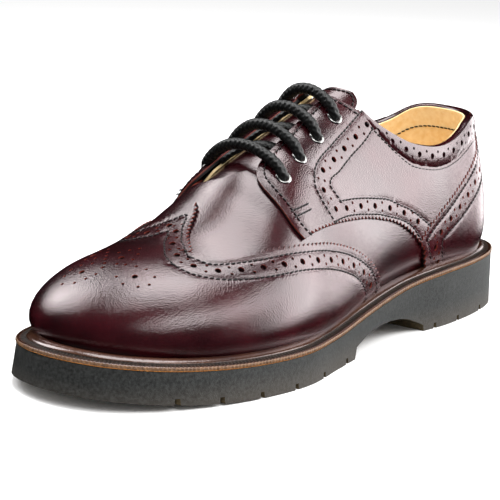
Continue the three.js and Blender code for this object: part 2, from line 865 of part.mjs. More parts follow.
// Finishes.
const leather = new THREE.MeshStandardMaterial({ color: 0x4a0f18, roughness: 0.18 });
const rubber = new THREE.MeshStandardMaterial({ color: 0x4c4d4b, roughness: 0.75 });
const weltLeather = new THREE.MeshStandardMaterial({ color: 0x5b4636, roughness: 0.35 });
const lining = new THREE.MeshStandardMaterial({ color: 0xe0b877, roughness: 0.7 });
const metal = new THREE.MeshStandardMaterial({ color: 0xc9cacb, roughness: 0.25, metalness: 1 });
const cord = new THREE.MeshStandardMaterial({ color: 0x1c1d1d, roughness: 0.8 });

// The group stands with the middle of the sole's width on the origin.
const shoe = new THREE.Group();
const outlineAcross = outlinePoints.map((p) => p.x);
shoe.position.x = -(Math.max(...outlineAcross) + Math.min(...outlineAcross)) / 2;
function add(name, geometry, material) {
  const mesh = new THREE.Mesh(geometry, material);
  mesh.name = name;
  shoe.add(mesh);
}

add("outsole", geometryOf(whole(outsole)), rubber);
add("welt", geometryOf(whole(welt)), weltLeather);
add("insole", geometryOf(whole(insole)), lining);
add("upper", geometryOf(whole(upper)), leather);
add("wingtip", geometryOf(whole(wingtip)), leather);
add("outer_quarter", geometryOf(whole(outerQuarter)), leather);
add("inner_quarter", geometryOf(whole(innerQuarter)), leather);
add("counter", geometryOf(whole(counter)), leather);
collar.decompose().sort((a, b) => b.volume() - a.volume()).slice(0, 2)
  .sort((a, b) => b.boundingBox().max[0] - a.boundingBox().max[0])
  .forEach((piece, i) => add(i === 0 ? "outer_collar" : "inner_collar", geometryOf(piece), leather));
add("tongue", geometryOf(whole(tongue)), leather);
eyelets.forEach((place, i) => {
  const name = `${place.side > 0 ? "outer" : "inner"}_eyelet_${(i % eyeletPlaces.length) + 1}`;
  add(name, geometryOf(solidOf(eyeletSolid(place))), metal);
});
eyeletPlaces.forEach((share, i) => {
  const bar = laceBar(eyelets[i], eyelets[i + eyeletPlaces.length]);
  add(`lace_${i + 1}`, geometryOf(solidOf(bar)), cord);
});

export default shoe;
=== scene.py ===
# A left brogue shoe: burgundy hi-shine leather, tan lining, grey rubber sole.
# Lengths are worked out in millimetres in part.mjs's frame, where y 0 is the
# middle of the sole, and are turned to metres when a mesh is made.
import math
import bmesh
import bpy
import numpy as np
from mathutils import Matrix, Vector
from mathutils.geometry import delaunay_2d_cdt


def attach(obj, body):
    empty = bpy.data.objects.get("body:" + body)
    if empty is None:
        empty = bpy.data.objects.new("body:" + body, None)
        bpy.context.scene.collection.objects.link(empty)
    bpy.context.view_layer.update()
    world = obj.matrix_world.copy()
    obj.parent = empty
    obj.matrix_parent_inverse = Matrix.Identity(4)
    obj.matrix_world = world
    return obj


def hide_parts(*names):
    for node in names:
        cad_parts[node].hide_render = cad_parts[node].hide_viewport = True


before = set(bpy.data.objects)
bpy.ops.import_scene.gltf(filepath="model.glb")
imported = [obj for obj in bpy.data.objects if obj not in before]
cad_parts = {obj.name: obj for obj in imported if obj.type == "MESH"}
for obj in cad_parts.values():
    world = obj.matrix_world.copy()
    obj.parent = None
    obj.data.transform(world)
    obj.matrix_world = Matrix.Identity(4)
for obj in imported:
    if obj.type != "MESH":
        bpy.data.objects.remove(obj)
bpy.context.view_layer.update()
scene = bpy.context.scene
print("frame loaded")

# Sizes shared with the part, in mm.
shoe = {
    "length": 305,
    "width": 113,
    "shiftX": -2.07,
    "heelHeight": 25.9,
    "foreHeight": 13.6,
    "toeSpring": 5.9,
    "toeRise": 5.2,
    "toeStart": 0.72,
    "toeRun": 0.28,
    "dropStart": 0.22,
    "dropEnd": 0.62,
    "weltHeight": 2.6,
    "upperBack": 148.8,
    "upperLength": 290.1,
    "halfWidth": 53.5,
    "throatX": -5.35,
}

# The form, as in part.mjs: at, middle, half, ridge, side, crown, lean.
lastForm = [
    (0, -0.035, 0.69, 1.035, 2.2, 1.35, -0.005),
    (0.12, -0.015, 0.725, 1.015, 2.15, 1.6, -0.01),
    (0.25, 0.04, 0.69, 0.995, 2.2, 1.75, -0.02),
    (0.38, 0.06, 0.655, 0.94, 2.1, 1.65, -0.07),
    (0.5, 0.075, 0.745, 0.84, 2, 1.55, -0.13),
    (0.62, 0.06, 0.91, 0.7, 2, 1.65, -0.11),
    (0.74, 0.01, 0.99, 0.455, 2.15, 1.85, -0.085),
    (0.86, -0.08, 0.905, 0.335, 2.2, 2.05, -0.075),
    (1, -0.225, 0.78, 0.21, 2.15, 2.1, -0.07),
]
formFacts = {
    "height": 100,
    "toeStart": 0.838,
    "toeFullness": 2.15,
    "heelStart": 0.145,
    "heelFullness": 2.26,
    "pinch": 0.133,
    "reach": 8,
}

# The sole's outline from the heel round the outer side: out, at.
soleOutline = [
    (-0.02, 0), (0.41, 0.014), (0.635, 0.065), (0.755, 0.14), (0.81, 0.25),
    (0.775, 0.36), (0.83, 0.48), (0.945, 0.59), (1.035, 0.68), (1, 0.76),
    (0.87, 0.85), (0.64, 0.93), (0.315, 0.983), (-0.11, 1), (-0.5, 0.978),
    (-0.77, 0.92), (-0.915, 0.84), (-0.965, 0.75), (-0.925, 0.67), (-0.8, 0.58),
    (-0.655, 0.47), (-0.6, 0.37), (-0.635, 0.26), (-0.705, 0.15), (-0.655, 0.06),
    (-0.435, 0.012),
]


def smooth(low, high, value):
    t = np.clip((value - low) / (high - low), 0, 1)
    return t * t * (3 - 2 * t)


def unit(rows):
    return rows / np.maximum(np.linalg.norm(rows, axis=-1, keepdims=True), 1e-9)


def toePart(share):
    return (np.maximum(0, share - shoe["toeStart"]) / shoe["toeRun"]) ** 2


def rubberTop(y):
    share = np.clip(0.5 - y / shoe["length"], 0, 1)
    drop = (shoe["heelHeight"] - shoe["foreHeight"]) * smooth(shoe["dropStart"], shoe["dropEnd"], share)
    return shoe["heelHeight"] - drop + shoe["toeRise"] * toePart(share)


def weltTop(y):
    return rubberTop(y) + shoe["weltHeight"]


def splineOf(x, y):
    # natural cubic spline through a column
    n = len(x)
    matrix = np.eye(n)
    right = np.zeros(n)
    for i in range(1, n - 1):
        a, b = x[i] - x[i - 1], x[i + 1] - x[i]
        matrix[i, i - 1:i + 2] = [a / 6, (a + b) / 3, b / 6]
        right[i] = (y[i + 1] - y[i]) / b - (y[i] - y[i - 1]) / a
    bend = np.linalg.solve(matrix, right)

    def value(at):
        i = np.clip(np.searchsorted(x, at) - 1, 0, n - 2)
        step = x[i + 1] - x[i]
        a = (x[i + 1] - at) / step
        b = 1 - a
        curve = (a ** 3 - a) * bend[i] + (b ** 3 - b) * bend[i + 1]
        return a * y[i] + b * y[i + 1] + curve * step ** 2 / 6
    return value


formTable = np.array(lastForm, float)
formScale = [shoe["halfWidth"], shoe["halfWidth"], formFacts["height"], 1, 1, shoe["halfWidth"]]
formLines = [splineOf(formTable[:, 0], formTable[:, i + 1] * formScale[i]) for i in range(6)]


def formValue(p):
    x, y, z = p[..., 0], p[..., 1], p[..., 2]
    run = (shoe["upperBack"] - y) / shoe["upperLength"]
    at = np.clip(run, -0.02, 1.03)
    middle, half, ridge, side, crown, lean = [line(at) for line in formLines]
    rise = z - weltTop(y)
    pinch = 1 - formFacts["pinch"] * np.exp(-np.maximum(rise, -5) / formFacts["reach"])
    up = rise / ridge
    centre = middle + lean * np.clip(up, -0.2, 1.3)
    across = np.abs(x - centre) / (half * pinch)
    start = formFacts["toeStart"]
    toe = np.maximum(0, (run - start) / (1 - start)) / pinch
    heel = np.maximum(0, (formFacts["heelStart"] - run) / formFacts["heelStart"]) / pinch
    below = np.maximum(0, -rise / formFacts["reach"])
    return (across ** side + np.maximum(up, 0) ** crown + toe ** formFacts["toeFullness"]
            + heel ** formFacts["heelFullness"] + below ** 4 - 1)


def formNormal(p):
    e = 0.05
    steps = np.eye(3) * e
    return unit(np.stack([formValue(p + s) - formValue(p - s) for s in steps], -1))


def hitForm(origin, direction, reach=170.0):
    low = np.zeros(len(origin))
    high = np.full(len(origin), reach)
    for _ in range(26):
        mid = (low + high) / 2
        inside = formValue(origin + direction * mid[:, None]) < 0
        low = np.where(inside, mid, low)
        high = np.where(inside, high, mid)
    return origin + direction * low[:, None]


# Two ways to unroll the form. The wall: round a line from the throat to the
# heel, by height. The fan: round the toe's axis.
wall = {"radius": 36.0, "start": 100.0, "axis": -1.0}
fan = {"radius": 38.0, "start": -100.0, "lift": 14.0}
quarterTurn = wall["radius"] * math.pi / 2
wallEnd = quarterTurn + wall["start"]


def wallAxis(y):
    return wall["axis"] + (shoe["throatX"] - wall["axis"]) * smooth(-100, -40, -y)


def wallPlace(flat):
    u, z = flat[:, 0], flat[:, 1]
    turn = np.clip(u / wall["radius"], -math.pi / 2, math.pi / 2)
    y = wall["start"] - np.maximum(np.abs(u) - quarterTurn, 0)
    origin = np.stack([wallAxis(y), y, z], -1)
    direction = np.stack([np.sin(turn), np.cos(turn), 0 * u], -1)
    return hitForm(origin, direction)


def wallFlat(p):
    turn = np.arctan2(p[:, 0] - wall["axis"], p[:, 1] - wall["start"])
    side = np.sign(p[:, 0] - wallAxis(p[:, 1]))
    ahead = side * (wallEnd - p[:, 1])
    u = np.where(p[:, 1] > wall["start"], turn * wall["radius"], ahead)
    return np.stack([u, p[:, 2]], -1)


def fanCentre(y):
    at = np.clip((shoe["upperBack"] - y) / shoe["upperLength"], 0, 1)
    return formLines[0](at), weltTop(y) + fan["lift"]


def fanPlace(flat):
    reach = np.hypot(flat[:, 0], flat[:, 1])
    around = np.arctan2(flat[:, 0], flat[:, 1])
    quarter = fan["radius"] * math.pi / 2
    lean = np.minimum(reach / fan["radius"], math.pi / 2)
    y = fan["start"] + np.maximum(reach - quarter, 0)
    x, z = fanCentre(y)
    ring = np.stack([np.sin(around), 0 * y, np.cos(around)], -1)
    ahead = np.array([0, -1.0, 0])
    direction = ring * np.sin(lean)[:, None] + ahead * np.cos(lean)[:, None]
    return hitForm(np.stack([x, y, z], -1), direction)


def fanFlat(p):
    y = np.maximum(p[:, 1], fan["start"])
    x, z = fanCentre(y)
    dx, dz = p[:, 0] - x, p[:, 2] - z
    around = np.arctan2(dx, dz)
    lean = np.arctan2(np.hypot(dx, dz), np.maximum(y - p[:, 1], 0))
    ahead = fan["radius"] * math.pi / 2 + p[:, 1] - fan["start"]
    reach = np.where(p[:, 1] >= fan["start"], ahead, lean * fan["radius"])
    return np.stack([reach * np.sin(around), reach * np.cos(around)], -1)


def planPlace(flat):
    y = flat[:, 1]
    origin = np.stack([flat[:, 0], y, weltTop(y) + 8], -1)
    return hitForm(origin, np.tile([0, 0, 1.0], (len(flat), 1)))


def planFlat(p):
    return p[:, :2].copy()


def gridOf(low, high, step):
    a = np.arange(low[0], high[0], step)
    b = np.arange(low[1], high[1], step * 0.87)
    rows = [np.stack([a + (i % 2) * step / 2, np.full(len(a), v)], -1) for i, v in enumerate(b)]
    return np.concatenate(rows)


def fanGrid(low, high, step):
    rows = []
    far = max(np.hypot(*low), np.hypot(*high), np.hypot(low[0], high[1]), np.hypot(high[0], low[1]))
    for i, reach in enumerate(np.arange(step, far, step)):
        wide = min(reach, fan["radius"] * 1.15)
        count = max(6, int(2 * math.pi * wide / step))
        turn = (np.arange(count) + (i % 2) / 2) * 2 * math.pi / count
        rows.append(np.stack([reach * np.sin(turn), reach * np.cos(turn)], -1))
    return np.concatenate(rows)


domains = {
    "wall": (wallPlace, wallFlat, gridOf),
    "fan": (fanPlace, fanFlat, fanGrid),
    "plan": (planPlace, planFlat, gridOf),
}


# Points on the form from a side view (y, z), from above (x, y), or along the
# feather edge, where the upper meets the welt.
def fromSide(rows, side=1):
    rows = np.array(rows, float)
    origin = np.stack([wallAxis(rows[:, 0]), rows[:, 0], rows[:, 1]], -1)
    return hitForm(origin, np.tile([float(side), 0, 0], (len(rows), 1)))


def fromAbove(rows):
    return planPlace(np.array(rows, float))


def fromBack(rows, side=1):
    # rows of (degrees round from the middle of the back, z)
    rows = np.array(rows, float)
    turn = np.radians(rows[:, 0]) * side
    origin = np.stack([np.full(len(rows), wall["axis"]), np.full(len(rows), wall["start"]), rows[:, 1]], -1)
    return hitForm(origin, np.stack([np.sin(turn), np.cos(turn), 0 * turn], -1))


def featherLine(start, end, side=1, rise=0.4):
    y = np.linspace(start, end, max(3, int(abs(end - start) / 3)))
    return fromSide(np.stack([y, weltTop(y) + rise], -1), side)


def featherToe(rise=0.4, count=48):
    # from the outer side round the toe to the inner side at the fan's start
    x, _ = fanCentre(np.array([fan["start"]]))
    turn = np.linspace(0, -math.pi, count)
    origin = np.stack([np.full(count, x[0]), np.full(count, fan["start"]), np.full(count, 30.0)], -1)
    direction = np.stack([np.cos(turn), np.sin(turn), 0 * turn], -1)
    p = origin.copy()
    for _ in range(3):
        origin[:, 2] = weltTop(p[:, 1]) + rise
        p = hitForm(origin, direction)
    return p


def featherHeel(rise=0.4, count=40):
    turn = np.linspace(90, -90, count)
    return fromBack(np.stack([turn, np.full(count, weltTop(140.0) + rise)], -1))


# Lines on the form.
def lengthsAlong(line):
    return np.concatenate([[0], np.cumsum(np.linalg.norm(np.diff(line, axis=0), axis=1))])


def rounded(rows, count=12):
    # a smooth line through given points
    rows = np.array(rows, float)
    at = lengthsAlong(rows)
    cuts = np.linspace(0, at[-1], max(2, len(rows) * count))
    lines = [splineOf(at, rows[:, i]) for i in range(rows.shape[1])]
    return np.stack([line(cuts) for line in lines], -1)


def resampled(line, pitch):
    at = lengthsAlong(line)
    count = max(1, int(round(at[-1] / pitch)))
    cuts = np.linspace(0, at[-1], count + 1)
    return np.stack([np.interp(cuts, at, line[:, i]) for i in range(3)], -1)


def normalAt(point):
    return formNormal(point[None])[0]


def asideOf(line):
    # the direction on the surface to the right of the way a line runs
    along = unit(np.gradient(line, axis=0))
    return unit(np.cross(along, formNormal(line)))


def pinked(line, side, depth=1.4, pitch=2.8):
    # a zigzag edge, its teeth on the side given
    points = resampled(line, pitch / 2)
    teeth = np.where(np.arange(len(points)) % 2 == 0, 0.0, depth) * side
    return points + asideOf(points) * teeth[:, None]


def shifted(line, by):
    return line + asideOf(line) * by


def distanceTo(p, line):
    a, b = line[:-1], line[1:]
    run = b - a
    best = np.full(len(p), 1e9)
    for i in range(len(a)):
        t = np.clip(((p - a[i]) @ run[i]) / max(run[i] @ run[i], 1e-9), 0, 1)
        best = np.minimum(best, np.linalg.norm(p - a[i] - t[:, None] * run[i], axis=1))
    return best


def insideOf(points, loop):
    x, y = points[:, 0], points[:, 1]
    inside = np.zeros(len(points), bool)
    a, b = loop, np.roll(loop, -1, axis=0)
    for (ax, ay), (bx, by) in zip(a, b):
        if ay == by:
            continue
        cross = (ay > y) != (by > y)
        inside ^= cross & (x < (bx - ax) * (y - ay) / (by - ay) + ax)
    return inside


def punched(centre, radius, sides):
    # a round hole's rim, drawn on the surface round its centre
    normal = normalAt(centre)
    across = unit(np.cross(normal, [0.3, 0.2, 0.9]))
    up = np.cross(normal, across)
    turn = np.arange(sides) * 2 * math.pi / sides
    return centre + radius * (np.cos(turn)[:, None] * across + np.sin(turn)[:, None] * up)


def broguing(line, big=1.45, small=0.75, pitch=10.5, aside=1.9, start=0.0):
    # large holes along a line, a pair of pinholes between each two
    line = resampled(line, 0.5)
    at = lengthsAlong(line)
    room = at[-1] - 2 * start
    count = max(1, int(round(room / pitch)))
    right = asideOf(line)
    holes = []
    for i in range(count + 1):
        k = int(np.argmin(np.abs(at - (start + room * i / count))))
        holes.append(punched(line[k], big, 16))
        if i < count:
            k = int(np.argmin(np.abs(at - (start + room * (i + 0.5) / count))))
            holes.append(punched(line[k] + right[k] * aside, small, 9))
            holes.append(punched(line[k] - right[k] * aside, small, 9))
    return holes


# Meshes.
def toScene(p):
    return (p + [shoe["shiftX"], 0, 0]) / 1000


def pushed(bm, faces, run):
    # faces pushed along a vector into a closed solid
    top = bmesh.ops.extrude_face_region(bm, geom=faces, use_keep_orig=True)["geom"]
    bmesh.ops.translate(bm, verts=[v for v in top if isinstance(v, bmesh.types.BMVert)], vec=run)
    bmesh.ops.recalc_face_normals(bm, faces=list(bm.faces))


def meshOf(name, bm):
    mesh = bpy.data.meshes.new(name)
    bm.to_mesh(mesh)
    bm.free()
    return mesh


def objectOf(name, mesh, materials, rides=True):
    piece = bpy.data.objects.new(name, mesh)
    scene.collection.objects.link(piece)
    for material in materials:
        mesh.materials.append(material)
    if rides:
        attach(piece, "root")
    return piece


def panel(name, edge, domain, lift, under, materials, holes=(), step=2.4, guides=()):
    # leather cut to an edge line, wrapped on the form between two heights
    place, flatten, grid = domains[domain]
    loops = [flatten(edge)] + [flatten(hole) for hole in holes]
    low, high = loops[0].min(axis=0), loops[0].max(axis=0)
    inner = grid(low, high, step)
    inner = inner[insideOf(inner, loops[0])]
    extra = [flatten(g) for g in guides]
    if extra:
        extra = np.concatenate(extra)
        extra = extra[insideOf(extra, loops[0])]
    rims = np.concatenate([edge] + list(holes))
    if len(extra):
        rims = np.concatenate([rims, place(extra)])
    # grid points too near a rim, a hole or a guide are left out
    nearest = np.full(len(inner), 1e9)
    spot = place(inner)
    for i in range(0, len(rims), 400):
        gap = np.linalg.norm(spot[:, None] - rims[None, i:i + 400], axis=2).min(axis=1)
        nearest = np.minimum(nearest, gap)
    inner = inner[nearest > step * 0.4]
    coords = []
    lines = []
    for loop in loops:
        first = len(coords)
        coords.extend(loop.tolist())
        lines.extend((first + i, first + (i + 1) % len(loop)) for i in range(len(loop)))
    coords.extend(inner.tolist())
    if len(extra):
        coords.extend(extra.tolist())
    spots, _, faces, _, _, _ = delaunay_2d_cdt([Vector(c) for c in coords], lines, [], 0, 1e-4)
    spots = np.array([list(s) for s in spots])
    faces = np.array([f for f in faces if len(f) == 3])
    middle = spots[faces].mean(axis=1)
    keep = insideOf(middle, loops[0])
    for loop in loops[1:]:
        keep &= ~insideOf(middle, loop)
    faces = faces[keep]
    run = spots[faces]
    area = np.cross(run[:, 1] - run[:, 0], run[:, 2] - run[:, 0])
    faces = faces[np.abs(area) > 1e-7]
    area = area[np.abs(area) > 1e-7]
    faces = np.where((area < 0)[:, None], faces[:, ::-1], faces)

    bm = bmesh.new()
    verts = [bm.verts.new((s[0], s[1], 0)) for s in spots]
    for f in faces:
        bm.faces.new([verts[i] for i in f])
    bmesh.ops.delete(bm, geom=[v for v in bm.verts if not v.link_faces], context="VERTS")
    pushed(bm, list(bm.faces), (0, 0, 1))

    flat = np.array([v.co[:] for v in bm.verts])
    isTop = flat[:, 2] > 0.5
    uv = flat[:, :2]

    def outer(at):
        base = place(at)
        return base + formNormal(base) * lift(base)[:, None]
    base = place(uv)
    normal = formNormal(base)
    spot = np.where(isTop[:, None], base + normal * lift(base)[:, None], base + normal * under)
    e = 0.12
    ways = [outer(uv + s) - outer(uv - s) for s in np.eye(2) * e]
    shine = unit(np.cross(ways[0], ways[1]))
    shine *= np.sign((shine * normal).sum(axis=1, keepdims=True))
    spot = toScene(spot)
    for v, s in zip(bm.verts, spot):
        v.co = s
    for f in bm.faces:
        f.smooth = True
        tops = sum(isTop[v.index] for v in f.verts)
        f.material_index = 0 if tops == len(f.verts) else (2 if tops == 0 else 1)
    bm.normal_update()
    tops = [f for f in bm.faces if f.material_index == 0]
    facing = sum(f.normal.dot(Vector(normal[f.verts[0].index])) for f in tops)
    if facing < 0:
        bmesh.ops.reverse_faces(bm, faces=list(bm.faces))
    mesh = meshOf(name, bm)
    # the top takes the smooth form's own normals, so gloss shows no facets
    loopNormals = []
    for face in mesh.polygons:
        for i in face.vertices:
            loopNormals.append(shine[i] if face.material_index == 0 else face.normal)
    mesh.normals_split_custom_set([tuple(n) for n in loopNormals])
    # deep runs from 0 at the top to 1 at the bottom of each wall; the cut edge's painted shade darkens with
    # it
    deep = mesh.attributes.new("deep", "FLOAT", "POINT")
    deep.data.foreach_set("value", (~isTop).astype(float))
    return objectOf(name, mesh, materials)


def linear(hexColour):
    # sRGB hex to the linear colour that nodes take
    parts = [int(hexColour[i:i + 2], 16) / 255 for i in (1, 3, 5)]
    return tuple(c / 12.92 if c <= 0.04045 else ((c + 0.055) / 1.055) ** 2.4 for c in parts) + (1,)


def addNode(tree, kind, links=(), **settings):
    # a node with its sockets set by name and its links made
    node = tree.nodes.new(kind)
    for key, value in settings.items():
        if hasattr(node, key):
            setattr(node, key, value)
        else:
            node.inputs[key.replace("_", " ")].default_value = value
    for source, output, socket in links:
        tree.links.new(source.outputs[output], node.inputs[socket])
    return node


def startMaterial(name, base, roughness, **sockets):
    material = bpy.data.materials.new(name)
    material.use_nodes = True
    tree = material.node_tree
    shader = tree.nodes["Principled BSDF"]
    shader.inputs["Base Color"].default_value = linear(base)
    shader.inputs["Roughness"].default_value = roughness
    for key, value in sockets.items():
        shader.inputs[key.replace("_", " ")].default_value = value
    return material, tree, shader


def rampOf(tree, source, output, low, high, lowAt, highAt):
    # a value turned into a colour between two hex values
    ramp = addNode(tree, "ShaderNodeValToRGB", [(source, output, "Fac")])
    ramp.color_ramp.elements[0].position = lowAt
    ramp.color_ramp.elements[0].color = linear(low)
    ramp.color_ramp.elements[1].position = highAt
    ramp.color_ramp.elements[1].color = linear(high)
    return ramp


def mottled(tree, shader, coords, low, high, scale):
    # colour that drifts between two hex values over the surface
    noise = addNode(tree, "ShaderNodeTexNoise", [(coords, "Object", "Vector")], Scale=scale, Detail=4.0)
    ramp = rampOf(tree, noise, "Fac", low, high, 0.3, 0.7)
    tree.links.new(ramp.outputs["Color"], shader.inputs["Base Color"])


def leatherMaterial(name, low, high, roughness, grain, coat):
    # corrected-grain cowhide, polyurethane glazed: a hard gloss over fine pores
    material, tree, shader = startMaterial(name, low, roughness, Coat_Weight=coat, Coat_Roughness=0.15)
    shader.inputs["Coat Tint"].default_value = linear("#f4dfe2")
    shader.inputs["Specular IOR Level"].default_value = 0.6
    coords = addNode(tree, "ShaderNodeTexCoord")
    mottled(tree, shader, coords, low, high, 45.0)
    pores = addNode(tree, "ShaderNodeTexVoronoi", [(coords, "Object", "Vector")], Scale=1500.0)
    drift = addNode(tree, "ShaderNodeTexNoise", [(coords, "Object", "Vector")], Scale=85.0, Detail=3.0)
    fine = addNode(tree, "ShaderNodeBump", [(pores, "Distance", "Height")], Strength=grain, Distance=0.0003)
    soft = addNode(tree, "ShaderNodeBump", [(drift, "Fac", "Height"), (fine, "Normal", "Normal")],
                   Strength=0.045, Distance=0.001)
    tree.links.new(soft.outputs["Normal"], shader.inputs["Normal"])
    tree.links.new(soft.outputs["Normal"], shader.inputs["Coat Normal"])
    return material


def roughMaterial(name, low, high, roughness, scale, strength, depth, **sockets):
    # a matt surface with an even fine texture
    material, tree, shader = startMaterial(name, low, roughness, **sockets)
    coords = addNode(tree, "ShaderNodeTexCoord")
    mottled(tree, shader, coords, low, high, scale * 0.35)
    fine = addNode(tree, "ShaderNodeTexNoise", [(coords, "Object", "Vector")], Scale=scale, Detail=5.0)
    bump = addNode(tree, "ShaderNodeBump", [(fine, "Fac", "Height")], Strength=strength, Distance=depth)
    tree.links.new(bump.outputs["Normal"], shader.inputs["Normal"])
    return material


# Glazed cowhide, two-tone burgundy with a dark rub; its grain is about 0.7 mm apart.
glazedHide = leatherMaterial("glazed_burgundy_hide", "#1c0206", "#380811", 0.26, 0.28, 0.85)
# The vamp's and collar's hide is a little finer and deeper.
softHide = leatherMaterial("soft_burgundy_hide", "#1a0206", "#34070e", 0.25, 0.17, 0.85)
# A cut edge of dyed leather: fibrous and red-brown; the near-black lower part of every wall is painted shade,
# for the shadow down the punched holes and under the pinked teeth.
cutEdge = roughMaterial("cut_leather_edge", "#5a1a12", "#8a3324", 0.6, 1800.0, 0.3, 0.0002)
# painted shade: the wall colour goes from red-brown to near black as deep grows
deepening = addNode(cutEdge.node_tree, "ShaderNodeAttribute", attribute_name="deep")
paintedWallShade = rampOf(cutEdge.node_tree, deepening, "Fac", "#7c2c1d", "#080304", 0.12, 0.5)
cutShader = cutEdge.node_tree.nodes["Principled BSDF"]
cutEdge.node_tree.links.new(paintedWallShade.outputs["Color"], cutShader.inputs["Base Color"])
# Flesh side, seen only at the bottom of the punched holes; its near-black colour is painted shade for the
# holes' dark bottoms.
paintedShadeBacking = roughMaterial("painted_shade_backing", "#0c0405", "#1a0709", 0.7, 1500.0, 0.3, 0.0002)
# Vegetable-tanned lining: matt and warm, with a soft nap.
liningHide = roughMaterial("tan_lining_hide", "#ecca8e", "#f8e0b0", 0.55, 900.0, 0.25, 0.0003,
                           Specular_IOR_Level=0.3)
# Waxed polyester thread, near black.
waxedThread = roughMaterial("waxed_thread", "#040303", "#120c0d", 0.6, 2500.0, 0.4, 0.0001)
# Nickel-plated brass, drawn and pressed: bright, with soft edges.
nickel = startMaterial("nickel_plate", "#9d9d9b", 0.24, Metallic=1.0)[0]
# Polyester braid: eight black strands, dull, with a faint lit edge.
braid = roughMaterial("black_polyester_braid", "#060606", "#121313", 0.42, 2600.0, 0.5, 0.0002)
# Moulded nitrile rubber: grey and matt with a fine speckle.
wallRubber = roughMaterial("grey_nitrile_rubber", "#151615", "#2f3130", 0.6, 2200.0, 0.5, 0.0003)
# Low on the wall, fading out about 11 mm above the ground, a brown tint is added to the rubber.
wallTree = wallRubber.node_tree
wallShader = wallTree.nodes["Principled BSDF"]
wallCoords = addNode(wallTree, "ShaderNodeTexCoord")
wallSplit = addNode(wallTree, "ShaderNodeSeparateXYZ", [(wallCoords, "Object", "Vector")])
wallLow = rampOf(wallTree, wallSplit, "Z", "#4a3d30", "#000000", 0.001, 0.011)
wallSum = addNode(wallTree, "ShaderNodeMixRGB", [(wallLow, "Color", "Color2")], blend_type="ADD", Fac=0.4)
wallTree.links.new(wallShader.inputs["Base Color"].links[0].from_socket, wallSum.inputs["Color1"])
wallTree.links.new(wallSum.outputs["Color"], wallShader.inputs["Base Color"])
treadRubber = roughMaterial("olive_tread_rubber", "#3b3220", "#57492f", 0.65, 2000.0, 0.5, 0.0003)
# Welt leather: glazed brown, a dark wheeled groove, ribbed sides and an orange seam.
weltTopHide = leatherMaterial("glazed_brown_welt", "#2b1a12", "#4c3424", 0.22, 0.12, 0.7)
weltGroove = roughMaterial("wheeled_groove", "#120a06", "#2c1b10", 0.5, 1800.0, 0.3, 0.0002,
                           Specular_IOR_Level=0.15)
weltSide = roughMaterial("ribbed_welt_side", "#4a3220", "#77563a", 0.4, 1800.0, 0.3, 0.0002)
weltSeam = roughMaterial("orange_welt_seam", "#a8621f", "#c9802f", 0.5, 1500.0, 0.2, 0.0002)
glazedSkins = [glazedHide, cutEdge, paintedShadeBacking]
print("materials made")
